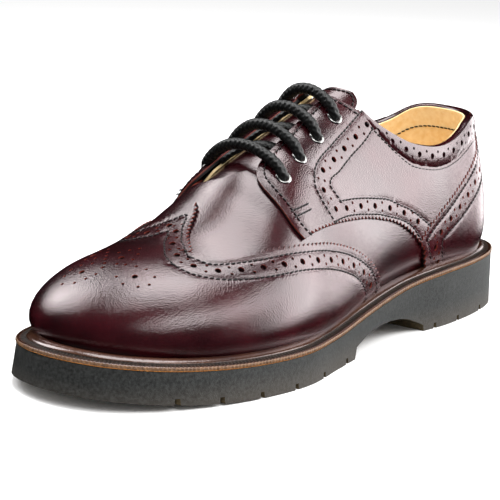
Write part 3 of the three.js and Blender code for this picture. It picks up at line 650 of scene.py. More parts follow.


# The upper's lines, outer side: y and z in mm, placed on the photograph.
upperLines = {
    "facing": [(3.5, 20), (3, 13), (3.5, 6.5), (4, 0), (4.5, -5), (5.2, -13), (6, -20), (6.3, -26), (7, -30),
               (8.5, -33.2), (11.5, -36), (15, -37.3), (22, -37.8), (28.5, -37.8), (34, -37), (36.8, -35)],
    "facingTop": [(33, 105.5), (30, 108), (28, 109.7), (26, 111), (23, 111), (20, 109.5)],
    "pink": [(-32, 58.3), (-23, 59.5), (-13.5, 60), (-2.5, 60), (9, 59.5), (21, 58.5), (32, 56.5),
             (41.5, 54), (49, 50.5), (55.5, 46), (60, 42)],
    "counterFront": [(60, 42.3), (63, 40.5), (65.5, 35.5), (68.5, 30), (73, 25)],
    "counterTop": [(61, 42.5), (64.5, 46.5), (70, 50.3), (76, 54), (82, 57.5), (89.5, 61.5), (97, 65.5),
                   (105, 69.8), (112.5, 74.5), (118, 77.5)],
    "topline": [(34.5, 106), (37, 103), (40.5, 100), (44.5, 97.3), (49, 94.7), (53, 92.7), (59, 90.3),
                (66, 88.6), (73, 87.5), (81, 87.3), (90.5, 88.5), (98.5, 90.5), (105.5, 93)],
    "stayFront": [(33.5, 104.5), (27, 101), (20.5, 97.5), (13.5, 94), (7.5, 91), (-2.5, 86.5),
                  (-7.5, 83.5), (-11, 80.5), (-13.5, 77.5), (-14.5, 74), (-14.3, 71), (-13.3, 67.5),
                  (-11.5, 63.5), (-10, 60.8)],
    "stayBack": [(40.5, 100), (37, 97.5), (33, 94.7), (30, 92.7), (23, 89), (13, 84), (4.5, 80), (-1, 78),
                 (-3, 75.5), (-1.5, 72.5), (0.5, 68.7)],
    "stayHoles": [(34.5, 99.5), (25, 94.5), (14.5, 89.5), (4, 85), (-6.5, 80), (-9, 73), (-4.5, 65.3)],
    "bandTop": [(0.5, 68.7), (12, 68.5), (23, 67.5), (30.5, 66.5), (38, 65), (45, 62), (52.5, 59),
                (59.5, 55), (67, 50)],
    "bandLow": [(-10, 60.8), (-2, 61.8), (4.5, 62), (12.5, 61.5), (21, 60.5), (28.5, 59.5), (36.5, 57.5),
                (44, 55.5), (50, 53), (54.5, 50), (60, 44)],
    "bandHoles": [(-4.5, 65.3), (10, 65.2), (23.5, 64), (35, 62), (46.5, 58.5), (56, 54), (64, 48)],
    "wing": [(-82.5, 54), (-80.5, 52.7), (-77.5, 51.7), (-73, 51.8), (-68, 52.2), (-62, 53.2), (-55, 54.2),
             (-48, 54.6), (-40, 54.6), (-31, 54), (-21, 52.9), (-10.5, 50.6), (-0.5, 47.5), (8.5, 43.5),
             (16.5, 38.3), (22, 33.3), (25.3, 28.5), (27, 24.5)],
    "wingStitch": [(-84.2, 52.3), (-82.5, 50.6), (-79, 50), (-71, 50.4), (-60.5, 51.4), (-48, 52.6),
                   (-35.5, 52.3), (-24.5, 51.2), (-16.5, 49.6), (-3.5, 46), (5.5, 42.2), (11.5, 39),
                   (17, 34.7), (21.5, 29.8), (24.5, 24.5)],
    "wingDeco": [(-93.5, 50.3), (-93.3, 48.6), (-90, 46.7), (-85, 45.6), (-78.5, 45), (-69, 45),
                 (-58, 45.5), (-47, 45.9), (-33, 44.9), (-16.5, 41.5), (-7, 38.5), (0, 35.5), (6, 31.5),
                 (10.5, 27), (13.5, 21.5)],
    "wingHoles": [(-87.5, 49.5), (-81.5, 48), (-73, 48), (-64.5, 48.4), (-54.5, 49), (-44, 49.1),
                  (-30, 48.1), (-14.5, 45.2), (-0.5, 40.6), (10, 34.6), (17.5, 26)],
    "counterStitch": [(65, 43), (69.5, 47), (75.5, 50.8), (83, 55), (90.5, 59.3), (97.5, 63.3),
                      (105.5, 67.6), (113, 72)],
    "counterDeco": [(77.5, 41), (85, 45), (94.5, 49.5), (104, 54.5), (113.5, 60), (122, 65)],
    "counterHoles": [(71, 41.5), (77, 46), (84.5, 50.6), (93.5, 55.4), (102, 60), (110, 64.7), (119, 70)],
}
# From above, x and y: the wing's peak and its stitches round to the inner side.
peakLines = {
    "wing": [(12, -82), (9, -80), (5, -76.5), (1.5, -73), (-1, -69), (-2.5, -66), (-4.2, -62),
             (-6, -58.5), (-8.7, -55.5), (-10.8, -58.5), (-13, -61.3), (-16.5, -64), (-21, -67),
             (-26, -69), (-33, -68.3)],
    "stitch": [(14, -84.5), (11, -83.5), (6.5, -80), (2, -76.5), (-1, -72.5), (-4.5, -67.5), (-8, -61.5),
               (-11.5, -64), (-15.5, -67), (-20.5, -69.8), (-26, -71.8), (-32, -71)],
    "deco": [(13, -93.5), (9, -92.5), (4, -89.7), (0, -85.3), (-4, -80.5), (-9.3, -73), (-12.5, -76.5),
             (-15.5, -78.7), (-20, -81), (-25.5, -81.3), (-31, -79.7)],
    "holes": [(17, -88.3), (8.5, -87), (3, -82.8), (-2, -77.7), (-8.7, -67), (-13.5, -71.5),
              (-19.5, -75.3), (-26, -76.5), (-32, -75.3)],
    "vampEdge": [(-24, -40), (-18, -41.3), (-12, -41.5), (-6.5, -40.5), (-2, -38), (3, -34)],
}
medallion = {
    "bigRadius": 1.35,
    "smallRadius": 0.72,
    "big": [(-27.5, -100), (-20.5, -114.5), (-10.5, -101), (4.5, -109.5)],
    "small": [(-28.5, -94.5), (-25, -93), (-21.5, -97.5), (-19, -101), (-17, -104), (-14.5, -107),
              (-13, -110), (-12.5, -114.5), (-23, -103.5), (-20.5, -108), (-28, -104), (-25.5, -109.5),
              (-28.5, -112.5), (-28, -117), (-24.5, -122), (-18.5, -121), (-15, -118), (-15.5, -97),
              (-12.5, -93.5), (-9.5, -90.5), (-6, -95.5), (-4.5, -100.5), (-4.5, -105), (-8.5, -106),
              (0.5, -104), (5.5, -103.5), (-2.5, -113), (3, -115), (9.5, -113), (12.5, -109.5),
              (11.5, -105)],
}


def sideRows(rows, side=1):
    return fromSide(rounded(rows), side)


def aboveRows(rows):
    return fromAbove(rounded(rows))


def line(name, side=1):
    return sideRows(upperLines[name], side)


def joined(*parts):
    # lines end to end, without doubled points
    out = [parts[0]]
    for part in parts[1:]:
        gap = np.linalg.norm(part - out[-1][-1], axis=1)
        out.append(part[gap > 0.4])
    whole = np.concatenate(out)
    if np.linalg.norm(whole[0] - whole[-1]) < 0.4:
        whole = whole[:-1]
    return whole


stitchRows = []


def stitched(path, height, pitch=2.6):
    # remembers a row of stitches and what gives its height over the form
    stitchRows.append((path, pitch, height))


# Vamp: under everything from the toe to the waist.
vampFacts = {"wall": 2.2, "middle": -8, "creaseDepth": 0.5}
# Creases: place along the shoe, slant, width and share of the depth.
creases = [(-48, 0.12, 3.2, 0.35), (-36, 0.2, 3.0, 0.5)]
vampEdge = aboveRows(peakLines["vampEdge"])
vampOuter = [(-30, 78), (-18, 75), (0, 74), (30, 70), (60, 60), (84, 48), (88, 30), (88, 26)]
vampInner = [(-34, 74), (-18, 74), (0, 73), (30, 69), (60, 60), (84, 48), (88, 30), (88, 26)]
vampLoop = joined(vampEdge, sideRows(vampOuter), featherLine(88, -100), featherToe(),
                  featherLine(-100, 88, -1), sideRows(vampInner, -1)[::-1])


def vampLift(p):
    # soft creases where the ball of the foot bends it
    aside = np.abs(p[:, 0] - vampFacts["middle"])
    fold = np.zeros(len(p))
    for at, slant, wide, share in creases:
        fold += share * np.exp(-((p[:, 1] - at - slant * aside) / wide) ** 2)
    top = smooth(45, 60, p[:, 2])
    return -vampFacts["creaseDepth"] * top * fold


vamp = panel("vamp", vampLoop, "fan", vampLift, -vampFacts["wall"], [softHide, cutEdge, liningHide], step=2.6)
print("vamp")

# Wingtip: one piece over the toe, pinked along its top, with a medallion.
wingFacts = {"wall": 1.7, "tooth": 1.5, "dip": 0.35}
wingOuter = line("wing")
wingPeak = aboveRows(peakLines["wing"])
innerRows = [(y, z) for y, z in upperLines["wing"] if y > -66]
wingInner = sideRows([(-67, 53.6)] + innerRows, -1)
wingTop = np.concatenate([wingOuter[::-1], wingPeak[1:], wingInner[1:]])
wingLoop = joined(pinked(wingTop, 1, wingFacts["tooth"]),
                  featherLine(27, -100, -1), featherToe()[::-1], featherLine(-100, 27))
wingHoleLine = np.concatenate([line("wingHoles")[::-1], aboveRows(peakLines["holes"])])
innerHoles = sideRows([(y, z) for y, z in upperLines["wingHoles"] if y > -70], -1)
wingHoles = broguing(wingHoleLine, start=4) + broguing(innerHoles, start=4)
for x, y in medallion["big"]:
    wingHoles.append(punched(fromAbove([(x, y)])[0], medallion["bigRadius"], 16))
for x, y in medallion["small"]:
    wingHoles.append(punched(fromAbove([(x, y)])[0], medallion["smallRadius"], 9))
wingSeams = [
    np.concatenate([line("wingStitch")[::-1], aboveRows(peakLines["stitch"]),
                    sideRows([(-66, 51.5)] + [r for r in upperLines["wingStitch"] if r[0] > -61], -1)]),
    np.concatenate([line("wingDeco")[::-1], aboveRows(peakLines["deco"]),
                    sideRows([r for r in upperLines["wingDeco"] if r[0] > -72], -1)]),
]


def seamDip(p, seams, depth, width=0.9):
    dip = np.zeros(len(p))
    for seam in seams:
        dip = np.maximum(dip, np.exp(-(distanceTo(p, resampled(seam, 3.0)) / width) ** 2))
    return -depth * dip


def wingLift(p):
    return wingFacts["wall"] + seamDip(p, wingSeams, wingFacts["dip"])


def seamGuides(seams, asides=(-1.1, 0, 1.1)):
    return [shifted(resampled(seam, 2.2), aside) for seam in seams for aside in asides]


wing = panel("wing_tip", wingLoop, "fan", wingLift, 0.05, glazedSkins, wingHoles,
             step=2.4, guides=seamGuides(wingSeams))
for seam in wingSeams:
    stitched(seam, wingLift)
print("wing")

# Quarters: the sides with their facings, a punched stay and a punched band.
quarterFacts = {"wall": 1.7, "facingWall": 3.2, "facingWide": 17, "fade": 9, "dip": 0.3, "round": 1.6,
                "edgeStitch": 3.1, "innerLag": 3}
innerLines = {
    "facing": [(-11.8, 24.5), (-12.5, 19), (-13.4, 13.8), (-14, 7), (-14.8, -0.4), (-17.3, -13.3),
               (-20.4, -23.6), (-22.4, -28.3), (-24.4, -31.8), (-27.3, -34.6), (-32, -36), (-38, -36.3),
               (-43.5, -35)],
    "facingTop": [(36.5, 107.5), (34, 109.5), (31.5, 111.2), (29, 112.4), (26.5, 112.2), (24.5, 111)],
    "topline": [(36.6, 107.7), (42.7, 101.3), (51.9, 95), (62.5, 91), (74.7, 87.7), (90, 86.9), (103, 87)],
}
# Degrees round from the middle of the back, and z.
backTopline = [(76, 94), (64, 96), (50, 97.2), (30, 97.7), (0, 98), (-18, 97.6), (-29, 95.5), (-40, 91.5),
               (-54, 88), (-80, 87)]
spurRows = [(60, 78), (53, 81.5), (48, 86), (45, 91.5), (44, 97.5)]


def moved(rows, by):
    return [(y + by, z) for y, z in rows]


def quarterSeams(side, lag):
    stay = [moved(upperLines[name], lag) for name in ("stayFront", "stayBack")]
    band = [upperLines[name] for name in ("bandTop", "bandLow")]
    return [sideRows(rows, side) for rows in stay + band]


toplineAll = np.concatenate([line("topline"), fromBack(rounded(backTopline))[4:-4],
                             sideRows(innerLines["topline"], -1)[::-1]])
toplineFlat = wallFlat(toplineAll)
toplineFlat = toplineFlat[np.argsort(toplineFlat[:, 0])]


def toplineHeight(u):
    return np.interp(u, toplineFlat[:, 0], toplineFlat[:, 1])


def toplineAlong(side, drop, back=46):
    # a line under the topline, from the throat back to an angle round the heel
    front = wallEnd - (36 if side > 0 else 39)
    u = np.linspace(front, back * math.pi / 180 * wall["radius"], 60) * side
    return wallPlace(np.stack([u, toplineHeight(u) - drop], -1))


def quarterPiece(side):
    facts = upperLines if side > 0 else innerLines
    front = aboveRows(facts["facing"])
    pink = line("pink", side)
    meet = line("counterTop", side)
    under = toplineAlong(side, 3.0)
    if side < 0:
        # the inner facing's foot joins the pinked edge a little further on
        pink = pink[pink[:, 1] > front[-1, 1] + 2]
    loop = joined(front, pinked(pink, -side), meet, under[::-1],
                  sideRows(facts["facingTop"], side))
    lag = 0 if side > 0 else quarterFacts["innerLag"]
    seams = quarterSeams(side, lag)
    holes = broguing(sideRows(moved(upperLines["stayHoles"], lag), side), start=1)
    holes += broguing(line("bandHoles", side), start=8)
    freeEdge = np.concatenate([sideRows(facts["facingTop"], side), front])
    edgeSeam = shifted(resampled(freeEdge[4:], 2.0), -quarterFacts["edgeStitch"] * side)

    def lift(p):
        # thick along the facing, its free edge rounded over, dipped at the seams
        aside = np.abs(p[:, 0] - shoe["throatX"]) - 11
        wide, fade = quarterFacts["facingWide"], quarterFacts["fade"]
        ahead = smooth(-5, -14, p[:, 1])
        more = quarterFacts["facingWall"] - quarterFacts["wall"]
        thick = more * (1 - smooth(wide - fade, wide + fade, aside))
        foot = more * ahead * (1 - smooth(20, 32, distanceTo(p, resampled(front, 3.0))))
        thick = np.maximum(thick, foot)
        far = distanceTo(p, resampled(freeEdge, 1.5))
        turn = quarterFacts["round"]
        fall = turn - np.sqrt(np.maximum(turn ** 2 - np.maximum(turn - far, 0) ** 2, 0))
        return quarterFacts["wall"] + thick - fall + seamDip(p, seams + [edgeSeam], quarterFacts["dip"])

    guides = seamGuides(seams + [edgeSeam])
    edgeGuides = [shifted(resampled(freeEdge, 2.0), d * side) for d in (0.15, 0.4, 0.8, 1.3, 1.9)]
    piece = panel("outer_side" if side > 0 else "inner_side", loop, "wall", lift, 0.05,
                  glazedSkins, holes, step=2.2, guides=guides + edgeGuides)
    for seam in seams:
        stitched(seam, lift)
    for rise in (0, 2.2):
        tack = fromSide([(-35, 65.5 + rise), (-31, 66.3 + rise), (-25.5, 67.4 + rise)], side)
        stitched(tack, lift, 2.0)
    stitched(edgeSeam, lift)
    return piece


outerSide = quarterPiece(1)
innerSide = quarterPiece(-1)
print("quarters")

# Counter: wraps the heel, with a spur up to the topline.
counterFacts = {"wall": 2.1, "dip": 0.3}
turns = np.linspace(44, -44, 34) * math.pi / 180 * wall["radius"]
counterTop = wallPlace(np.stack([turns, toplineHeight(turns) - 1], -1))
innerSpur = [(60, 77), (53, 79.5), (48, 82.5), (45, 86), (44, 88.5)]
counterOuter = [line("counterFront")[::-1], line("counterTop"), fromBack(rounded(spurRows))]
counterInner = [fromBack(rounded(innerSpur), -1)[::-1], line("counterTop", -1)[::-1],
                line("counterFront", -1)]
counterLoop = joined(pinked(np.concatenate(counterOuter), -1), counterTop,
                     pinked(np.concatenate(counterInner), -1), featherLine(73, 100, -1),
                     featherHeel()[::-1], featherLine(100, 73))
# The two seams up the spur on each side: degrees round from the back's middle, and z.
spurSeams = {
    1: ([(53, 79), (46, 84), (42, 89), (41, 92)], [(40, 72), (33, 80), (30.5, 87), (30, 92.5)]),
    -1: ([(53, 77.5), (46, 81), (42, 85), (41, 88.5)], [(40, 72), (33, 79), (30.5, 85), (30, 91)]),
}
counterFeet = {
    "stitch": [(76, 26), (70, 34), (65.3, 42.6)],
    "deco": [(86, 27), (80.5, 34), (77.5, 41)],
    "holes": [(79.5, 29), (74.5, 34.5), (71, 41.5)],
}
spurHoles = [(46, 75), (40, 79.5), (36, 84.5)]


def counterLine(foot, name, spur, side):
    # up from the welt, back along the counter's top and up its spur
    return np.concatenate([fromSide(counterFeet[foot], side), line(name, side), fromBack(spur, side)])


counterSeams = []
counterHoles = []
for side in (1, -1):
    counterSeams.append(counterLine("stitch", "counterStitch", spurSeams[side][0], side))
    counterSeams.append(counterLine("deco", "counterDeco", spurSeams[side][1], side))
    counterHoles += broguing(counterLine("holes", "counterHoles", spurHoles, side), start=2)


def counterLift(p):
    return counterFacts["wall"] + seamDip(p, counterSeams, counterFacts["dip"])


counter = panel("heel_counter", counterLoop, "wall", counterLift, 0.1, glazedSkins,
                counterHoles, step=2.3, guides=seamGuides(counterSeams))
for seam in counterSeams:
    stitched(seam, counterLift)
print("counter")

# Collar: a padded band under the topline, and the bead rolled over its edge.
collarFacts = {"deep": 13.5, "bulge": 3.2, "low": 1.8, "seamDip": 0.45,
               "pucker": 0.077, "puckerAt": 0.78, "puckerWide": 0.14}
beadFacts = {"wide": 2.35, "high": 2.0, "out": 0.2, "up": 0.6, "down": 2.6}


def collarBand(side):
    front = wallEnd - (34.5 if side > 0 else 36.6)
    back = 46 * math.pi / 180 * wall["radius"]
    u = np.linspace(front, back, 90)
    upper = np.stack([u, toplineHeight(side * u) - 1.2], -1)
    deep = collarFacts["deep"] * (0.62 + 0.38 * smooth(0, 25, front - u))
    lower = np.stack([u, toplineHeight(side * u) - deep], -1)
    upper[:, 0] *= side
    lower[:, 0] *= side
    ridge = np.stack([u * side, toplineHeight(side * u) - 5.6], -1)
    hem = np.stack([u * side, lower[:, 1] + 1.6], -1)
    loop = joined(wallPlace(upper), wallPlace(lower)[::-1])
    seam = wallPlace(hem)

    def lift(p):
        flat = wallFlat(p)
        down = toplineHeight(flat[:, 0]) - flat[:, 1]
        share = np.clip(down / collarFacts["deep"], 0, 1)
        pad = np.sin(math.pi * np.clip(share * 0.93 + 0.3, 0, 1)) ** 0.8
        ripple = np.sin(flat[:, 0] * 2.4 + 1.5 * np.sin(flat[:, 0] * 0.31))
        near = np.exp(-((share - collarFacts["puckerAt"]) / collarFacts["puckerWide"]) ** 2)
        pucker = collarFacts["pucker"] * ripple * near
        bulge = (collarFacts["bulge"] - collarFacts["low"]) * pad
        return collarFacts["low"] + bulge + pucker + seamDip(p, [seam], collarFacts["seamDip"], 1.1)

    holes = broguing(wallPlace(ridge), big=1.4, small=0.72, pitch=9.3, aside=2.0, start=7)
    piece = panel("outer_roll" if side > 0 else "inner_roll", loop, "wall", lift, 0.3,
                  [softHide, softHide, paintedShadeBacking], holes, step=1.6, guides=seamGuides([seam]))
    stitched(seam, lift)
    return piece


outerRoll = collarBand(1)
innerRoll = collarBand(-1)


def sweep(name, sections, materials, closed=False, faceMaterial=None):
    # a loft: the same number of points at each place along a path
    bm = bmesh.new()
    rows = [[bm.verts.new(p) for p in toScene(section)] for section in sections]
    count = len(rows[0])
    for i in range(len(rows) - (0 if closed else 1)):
        near, far = rows[i], rows[(i + 1) % len(rows)]
        for j in range(count):
            k = (j + 1) % count
            face = bm.faces.new((near[j], near[k], far[k], far[j]))
            face.smooth = True
            if faceMaterial:
                face.material_index = faceMaterial[j]
    if not closed:
        bm.faces.new(rows[0])
        bm.faces.new(rows[-1])
    bmesh.ops.recalc_face_normals(bm, faces=list(bm.faces))
    return objectOf(name, meshOf(name, bm), materials)


def beadSections(u):
    # the rolled edge: from the band's face over the top and down inside
    z = toplineHeight(u)
    turn = np.linspace(-0.25 * math.pi, 1.25 * math.pi, 11)
    sections = []
    base = wallPlace(np.stack([u, z - beadFacts["down"]], -1))
    normal = formNormal(base)
    normal[:, 2] *= 0.4
    normal = unit(normal)
    out = np.cos(turn) * beadFacts["wide"] + beadFacts["out"]
    up = np.sin(turn) * beadFacts["high"] + beadFacts["up"]
    for i in range(len(u)):
        sections.append(base[i] + normal[i] * out[:, None] + np.array([0, 0, 1.0]) * up[:, None])
    return sections


beadPath = np.linspace(wallEnd - 33.5, -(wallEnd - 35.5), 260)
bead = sweep("topline_bead", beadSections(beadPath), [softHide])
print("collar")

# Lining: the whole inside, tan within; its outside takes the near-black painted-shade backing.
liningFacts = {"wall": 2.2, "below": 1.0, "under": 0.02, "drop": 1.0, "seamProud": 0.4, "seamDown": 11.5}
innerTop = sideRows(innerLines["facingTop"], -1)
outerTop = line("facingTop")
liningTop = np.linspace(wallEnd - 35, -(wallEnd - 37), 160)
topline = wallPlace(np.stack([liningTop, toplineHeight(liningTop) - liningFacts["below"]], -1))
outerFront = fromAbove(rounded(upperLines["facing"])[:-60])
innerFront = fromAbove(rounded(innerLines["facing"])[:-50])
liningLoop = joined(outerFront, fromSide([(-37, 55), (-37, 30)]), featherLine(-37, 100, 1, 0.6),
                    featherHeel(0.6), featherLine(100, -37, -1, 0.6), fromSide([(-37, 30), (-37, 55)], -1),
                    innerFront[::-1], innerTop[::-1][2:], topline[::-1], outerTop[:-2])


def liningLift(p):
    # ahead of the throat it drops clear of the vamp
    return -liningFacts["under"] - liningFacts["drop"] * (1 - smooth(20, 38, p[:, 1]))


def liningSeamLift(p):
    # just inside the lining, where its seam shows from the collar
    return np.full(len(p), -liningFacts["wall"] - liningFacts["seamProud"])


panel("lining", liningLoop, "wall", liningLift, -liningFacts["wall"],
      [paintedShadeBacking, liningHide, liningHide], step=2.6)
print("lining")
for side in (1, -1):
    stitched(toplineAlong(side, liningFacts["seamDown"], 0)[4:], liningSeamLift)

# Tongue: padded leather under the facings, its end over the instep.
tongueFacts = {"top": -2.9, "wall": 2.5, "rise": 0.6, "wide": 9, "middle": -5.3, "stitch": 2.2}
tongueRows = [(9, 40), (3, 37), (-5.3, 35.8), (-13, 36.5), (-19.5, 39), (-22.5, 39.5), (-24.3, 36),
              (-25, 20), (-25, -6), (-24, -38), (-18, -49), (7, -49), (14, -40), (15.5, -6), (15, 20),
              (14.5, 35), (12.5, 39.5)]


def tongueLift(p):
    up = smooth(26, 40, p[:, 1])
    middle = np.exp(-((p[:, 0] - tongueFacts["middle"]) / tongueFacts["wide"]) ** 2)
    return tongueFacts["top"] + tongueFacts["rise"] * up * middle


tongueLoop = joined(aboveRows(tongueRows + tongueRows[:1]))
tongueEnd = aboveRows(tongueRows[-2:] + tongueRows[:7])
tongueEdge = shifted(resampled(tongueEnd, 2.0), -tongueFacts["stitch"])
tongue = panel("tongue_leather", tongueLoop, "plan", tongueLift, tongueFacts["top"] - tongueFacts["wall"],
               [softHide, softHide, liningHide], step=2.2)
stitched(tongueEdge, tongueLift)
print("tongue")

# Eyelets: pressed nickel rings set in the facings.
eyeletFacts = {"bore": 2.45, "ring": 3.75, "rise": 0.55, "sit": 3.2, "deep": 3.0, "sides": 40}
eyeletPlaces = [(18.3, -27.8), (15.7, -13.3), (13.2, 2.7), (12, 18.2)]
innerPlaces = [(-25, -24.8), (-22.7, -10.3), (-20.3, 5.7), (-19, 21.2)]


def frameAt(point):
    normal = normalAt(point)
    across = unit(np.cross(normal, [0, 0.5, 0.8]))
    return normal, across, np.cross(normal, across)


def eyeletPiece(name, point):
    sit, bore, ring, rise = (eyeletFacts[k] for k in ("sit", "bore", "ring", "rise"))
    profile = [(bore, sit - eyeletFacts["deep"]), (bore, sit + rise * 0.3), (bore + 0.12, sit + rise * 0.75),
               (bore + 0.4, sit + rise), (bore + 0.75, sit + rise * 0.95), (ring - 0.15, sit + rise * 0.45),
               (ring, sit + rise * 0.05), (ring, sit - 0.15), (bore + 0.35, sit - 0.2),
               (bore + 0.35, sit - eyeletFacts["deep"])]
    bm = bmesh.new()
    verts = [bm.verts.new((r, 0, h)) for r, h in profile]
    for i in range(len(verts)):
        bm.edges.new((verts[i], verts[(i + 1) % len(verts)]))
    bmesh.ops.spin(bm, geom=list(bm.verts) + list(bm.edges), cent=(0, 0, 0), axis=(0, 0, 1),
                   angle=2 * math.pi, steps=eyeletFacts["sides"], use_merge=True)
    bmesh.ops.remove_doubles(bm, verts=list(bm.verts), dist=0.0001)
    bmesh.ops.recalc_face_normals(bm, faces=list(bm.faces))
    normal, across, up = frameAt(point)
    turn = Matrix((across, up, normal)).transposed()
    for v in bm.verts:
        v.co = toScene(point + np.array(turn @ v.co))
    for f in bm.faces:
        f.smooth = True
    return objectOf(name, meshOf(name, bm), [nickel])


eyelets = {"outer": [], "inner": []}
for label, places in (("outer", eyeletPlaces), ("inner", innerPlaces)):
    for i, spot in enumerate(places):
        point = fromAbove([spot])[0]
        ring = eyeletPiece(f"{label}_ring_{i + 1}", point)
        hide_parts(f"{label}_eyelet_{i + 1}")
        eyelets[label].append(point)
print("eyelets")

# Laces: round braided cord, four bars over the facings and three runs under.
laceFacts = {"radius": 2.55, "rise": 5.9, "strands": 8, "pitch": 10.5, "bump": 0.95, "step": 0.36,
             "sides": 36, "endRise": 0.86, "moreRise": 0.14, "endRun": 0.3, "farDrop": 0.8}


def cordPiece(name, path, radii, flatten=1.0):
    # the braid: strands that wind both ways and pass over and under
    path = rounded(path, 14)
    at = lengthsAlong(path)
    cuts = np.arange(0, at[-1], laceFacts["step"])
    centre = np.stack([np.interp(cuts, at, path[:, i]) for i in range(3)], -1)
    radius = np.interp(cuts / at[-1], np.linspace(0, 1, len(radii)), radii)
    along = unit(np.gradient(centre, axis=0))
    up = unit(np.cross(np.cross(along, formNormal(centre)), along))
    across = np.cross(along, up)
    turn = np.arange(laceFacts["sides"]) * 2 * math.pi / laceFacts["sides"]
    half = laceFacts["strands"] / 2
    sections = []
    for i, s in enumerate(cuts):
        phase = 2 * math.pi * s / laceFacts["pitch"]
        first = half * (turn - phase)
        second = half * (turn + phase)
        over = np.where(np.sin((first + second) / 2) * np.sin((first - second) / 2) > 0,
                        np.abs(np.sin(first / 2)), np.abs(np.sin(second / 2)))
        r = radius[i] + laceFacts["bump"] * (over ** 0.6 - 0.82)
        wide = (np.cos(turn) * r)[:, None] * across[i]
        high = (np.sin(turn) * r * flatten)[:, None] * up[i]
        sections.append(centre[i] + wide + high)
    return sweep(name, sections, [braid])


def barPath(outer, inner):
    # out of one eyelet, over the facings in an arc and into the other
    rows = [outer + normalAt(outer) * rise for rise in (0.2, 2.4)]
    for t in (0.1, 0.22, 0.36, 0.5, 0.64, 0.78, 0.9):
        spot = outer[:2] + (inner[:2] - outer[:2]) * t
        base = fromAbove([spot])[0]
        end = min(t, 1 - t)
        share = laceFacts["endRise"] + laceFacts["moreRise"] * min(1, end / laceFacts["endRun"])
        drop = laceFacts["farDrop"] * max(0, t - 0.6) / 0.3
        rows.append(base + normalAt(base) * (laceFacts["rise"] * share - drop))
    rows += [inner + normalAt(inner) * rise for rise in (2.4, 0.2)]
    return np.array(rows)


outerPoints, innerPoints = eyelets["outer"], eyelets["inner"]
full = laceFacts["radius"]
for i in range(4):
    path = barPath(outerPoints[i], innerPoints[i])
    ends = [full * 0.86, full * 0.92]
    cord = cordPiece(f"lace_bar_{i + 1}", path, ends + [full] * 9 + ends[::-1])
    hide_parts(f"lace_{i + 1}")
for i in range(3):
    start, end = innerPoints[i], outerPoints[i + 1]
    rows = []
    for t in (0.12, 0.3, 0.5, 0.7, 0.88):
        base = fromAbove([start[:2] + (end[:2] - start[:2]) * t])[0]
        rows.append(base + normalAt(base) * (-0.6 + 0.5 * math.sin(math.pi * t)))
    cordPiece(f"lace_under_{i + 1}", np.array(rows), [full * 0.9] * 5, 0.6)
print("laces")

# The sole's outline as a dense smooth line.
halfSole = shoe["width"] / 2
outlineRows = np.array([(out * halfSole, (0.5 - at) * shoe["length"]) for out, at in soleOutline])


def between(at, start, end, first, second):
    return (end - at) / (end - start) * first + (at - start) / (end - start) * second


def closedCurve(rows, count):
    # centripetal Catmull-Rom through a closed ring of points
    points = []
    n = len(rows)
    for i in range(n):
        p = [rows[(i + k) % n] for k in (-1, 0, 1, 2)]
        t = [0.0]
        for a, b in zip(p[:-1], p[1:]):
            t.append(t[-1] + np.linalg.norm(b - a) ** 0.5)
        for s in np.linspace(t[1], t[2], 40, endpoint=False):
            a = [between(s, t[k], t[k + 1], p[k], p[k + 1]) for k in range(3)]
            b = [between(s, t[k], t[k + 2], a[k], a[k + 1]) for k in range(2)]
            points.append(between(s, t[1], t[2], b[0], b[1]))
    points = np.array(points)
    ring = np.concatenate([points, points[:1]])
    at = lengthsAlong(ring)
    cuts = np.linspace(0, at[-1], count, endpoint=False)
    return np.stack([np.interp(cuts, at, ring[:, i]) for i in range(2)], -1)


def outlineAt(count):
    ring = closedCurve(outlineRows, count)
    run = unit(np.roll(ring, -1, axis=0) - np.roll(ring, 1, axis=0))
    for _ in range(3):
        run = unit(run + np.roll(run, 1, axis=0) + np.roll(run, -1, axis=0))
    return ring, np.stack([run[:, 1], -run[:, 0]], -1)


# Welt: glazed brown, wheeled in a groove near its edge and down its side.
weltFacts = {"count": 1840, "ribs": 400, "rib": 0.34}


def makeWelt():
    ring, inward = outlineAt(weltFacts["count"])
    wave = np.sin(np.arange(len(ring)) * 2 * math.pi * weltFacts["ribs"] / len(ring))
    # inset from the edge, height over the top, share of the ribs
    profile = [(11.5, -2.2, 0), (11.5, 0.4, 0), (9.2, 1.2, 0), (7.4, 1.35, 0), (5.9, 1.05, 0),
               (4.7, 0.45, 0), (4.4, 0.1, 0), (4.0, -0.45, 0.5), (3.2, -0.75, 1), (2.4, -0.8, 1),
               (1.8, -0.7, 0.8), (1.4, -0.35, 0), (0.9, -0.3, 0), (0.4, -0.45, 0.3), (0.12, -0.7, 1),
               (0.0, -1.0, 1), (0.0, -1.5, 1), (0.1, -1.9, 0.6), (0.55, -2.15, 0), (0.55, -2.3, 0)]
    materials = [0] * 6 + [1] * 4 + [0] * 3 + [2] * 4 + [3, 3, 0]
    sections = []
    for i in range(len(ring)):
        rows = []
        for inset, rise, share in profile:
            push = weltFacts["rib"] * wave[i] * share
            side = push * 0.6 if rise < -0.3 and inset < 0.3 else 0
            x, y = ring[i] + inward[i] * (inset + side)
            rows.append((x, y, weltTop(ring[i][1]) + rise + (0 if side else push)))
        sections.append(np.array(rows))
    skins = [weltTopHide, weltGroove, weltSide, weltSeam]
    return sweep("welt_rim", sections, skins, True, materials)


weltRim = makeWelt()
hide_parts("welt")
print("welt")

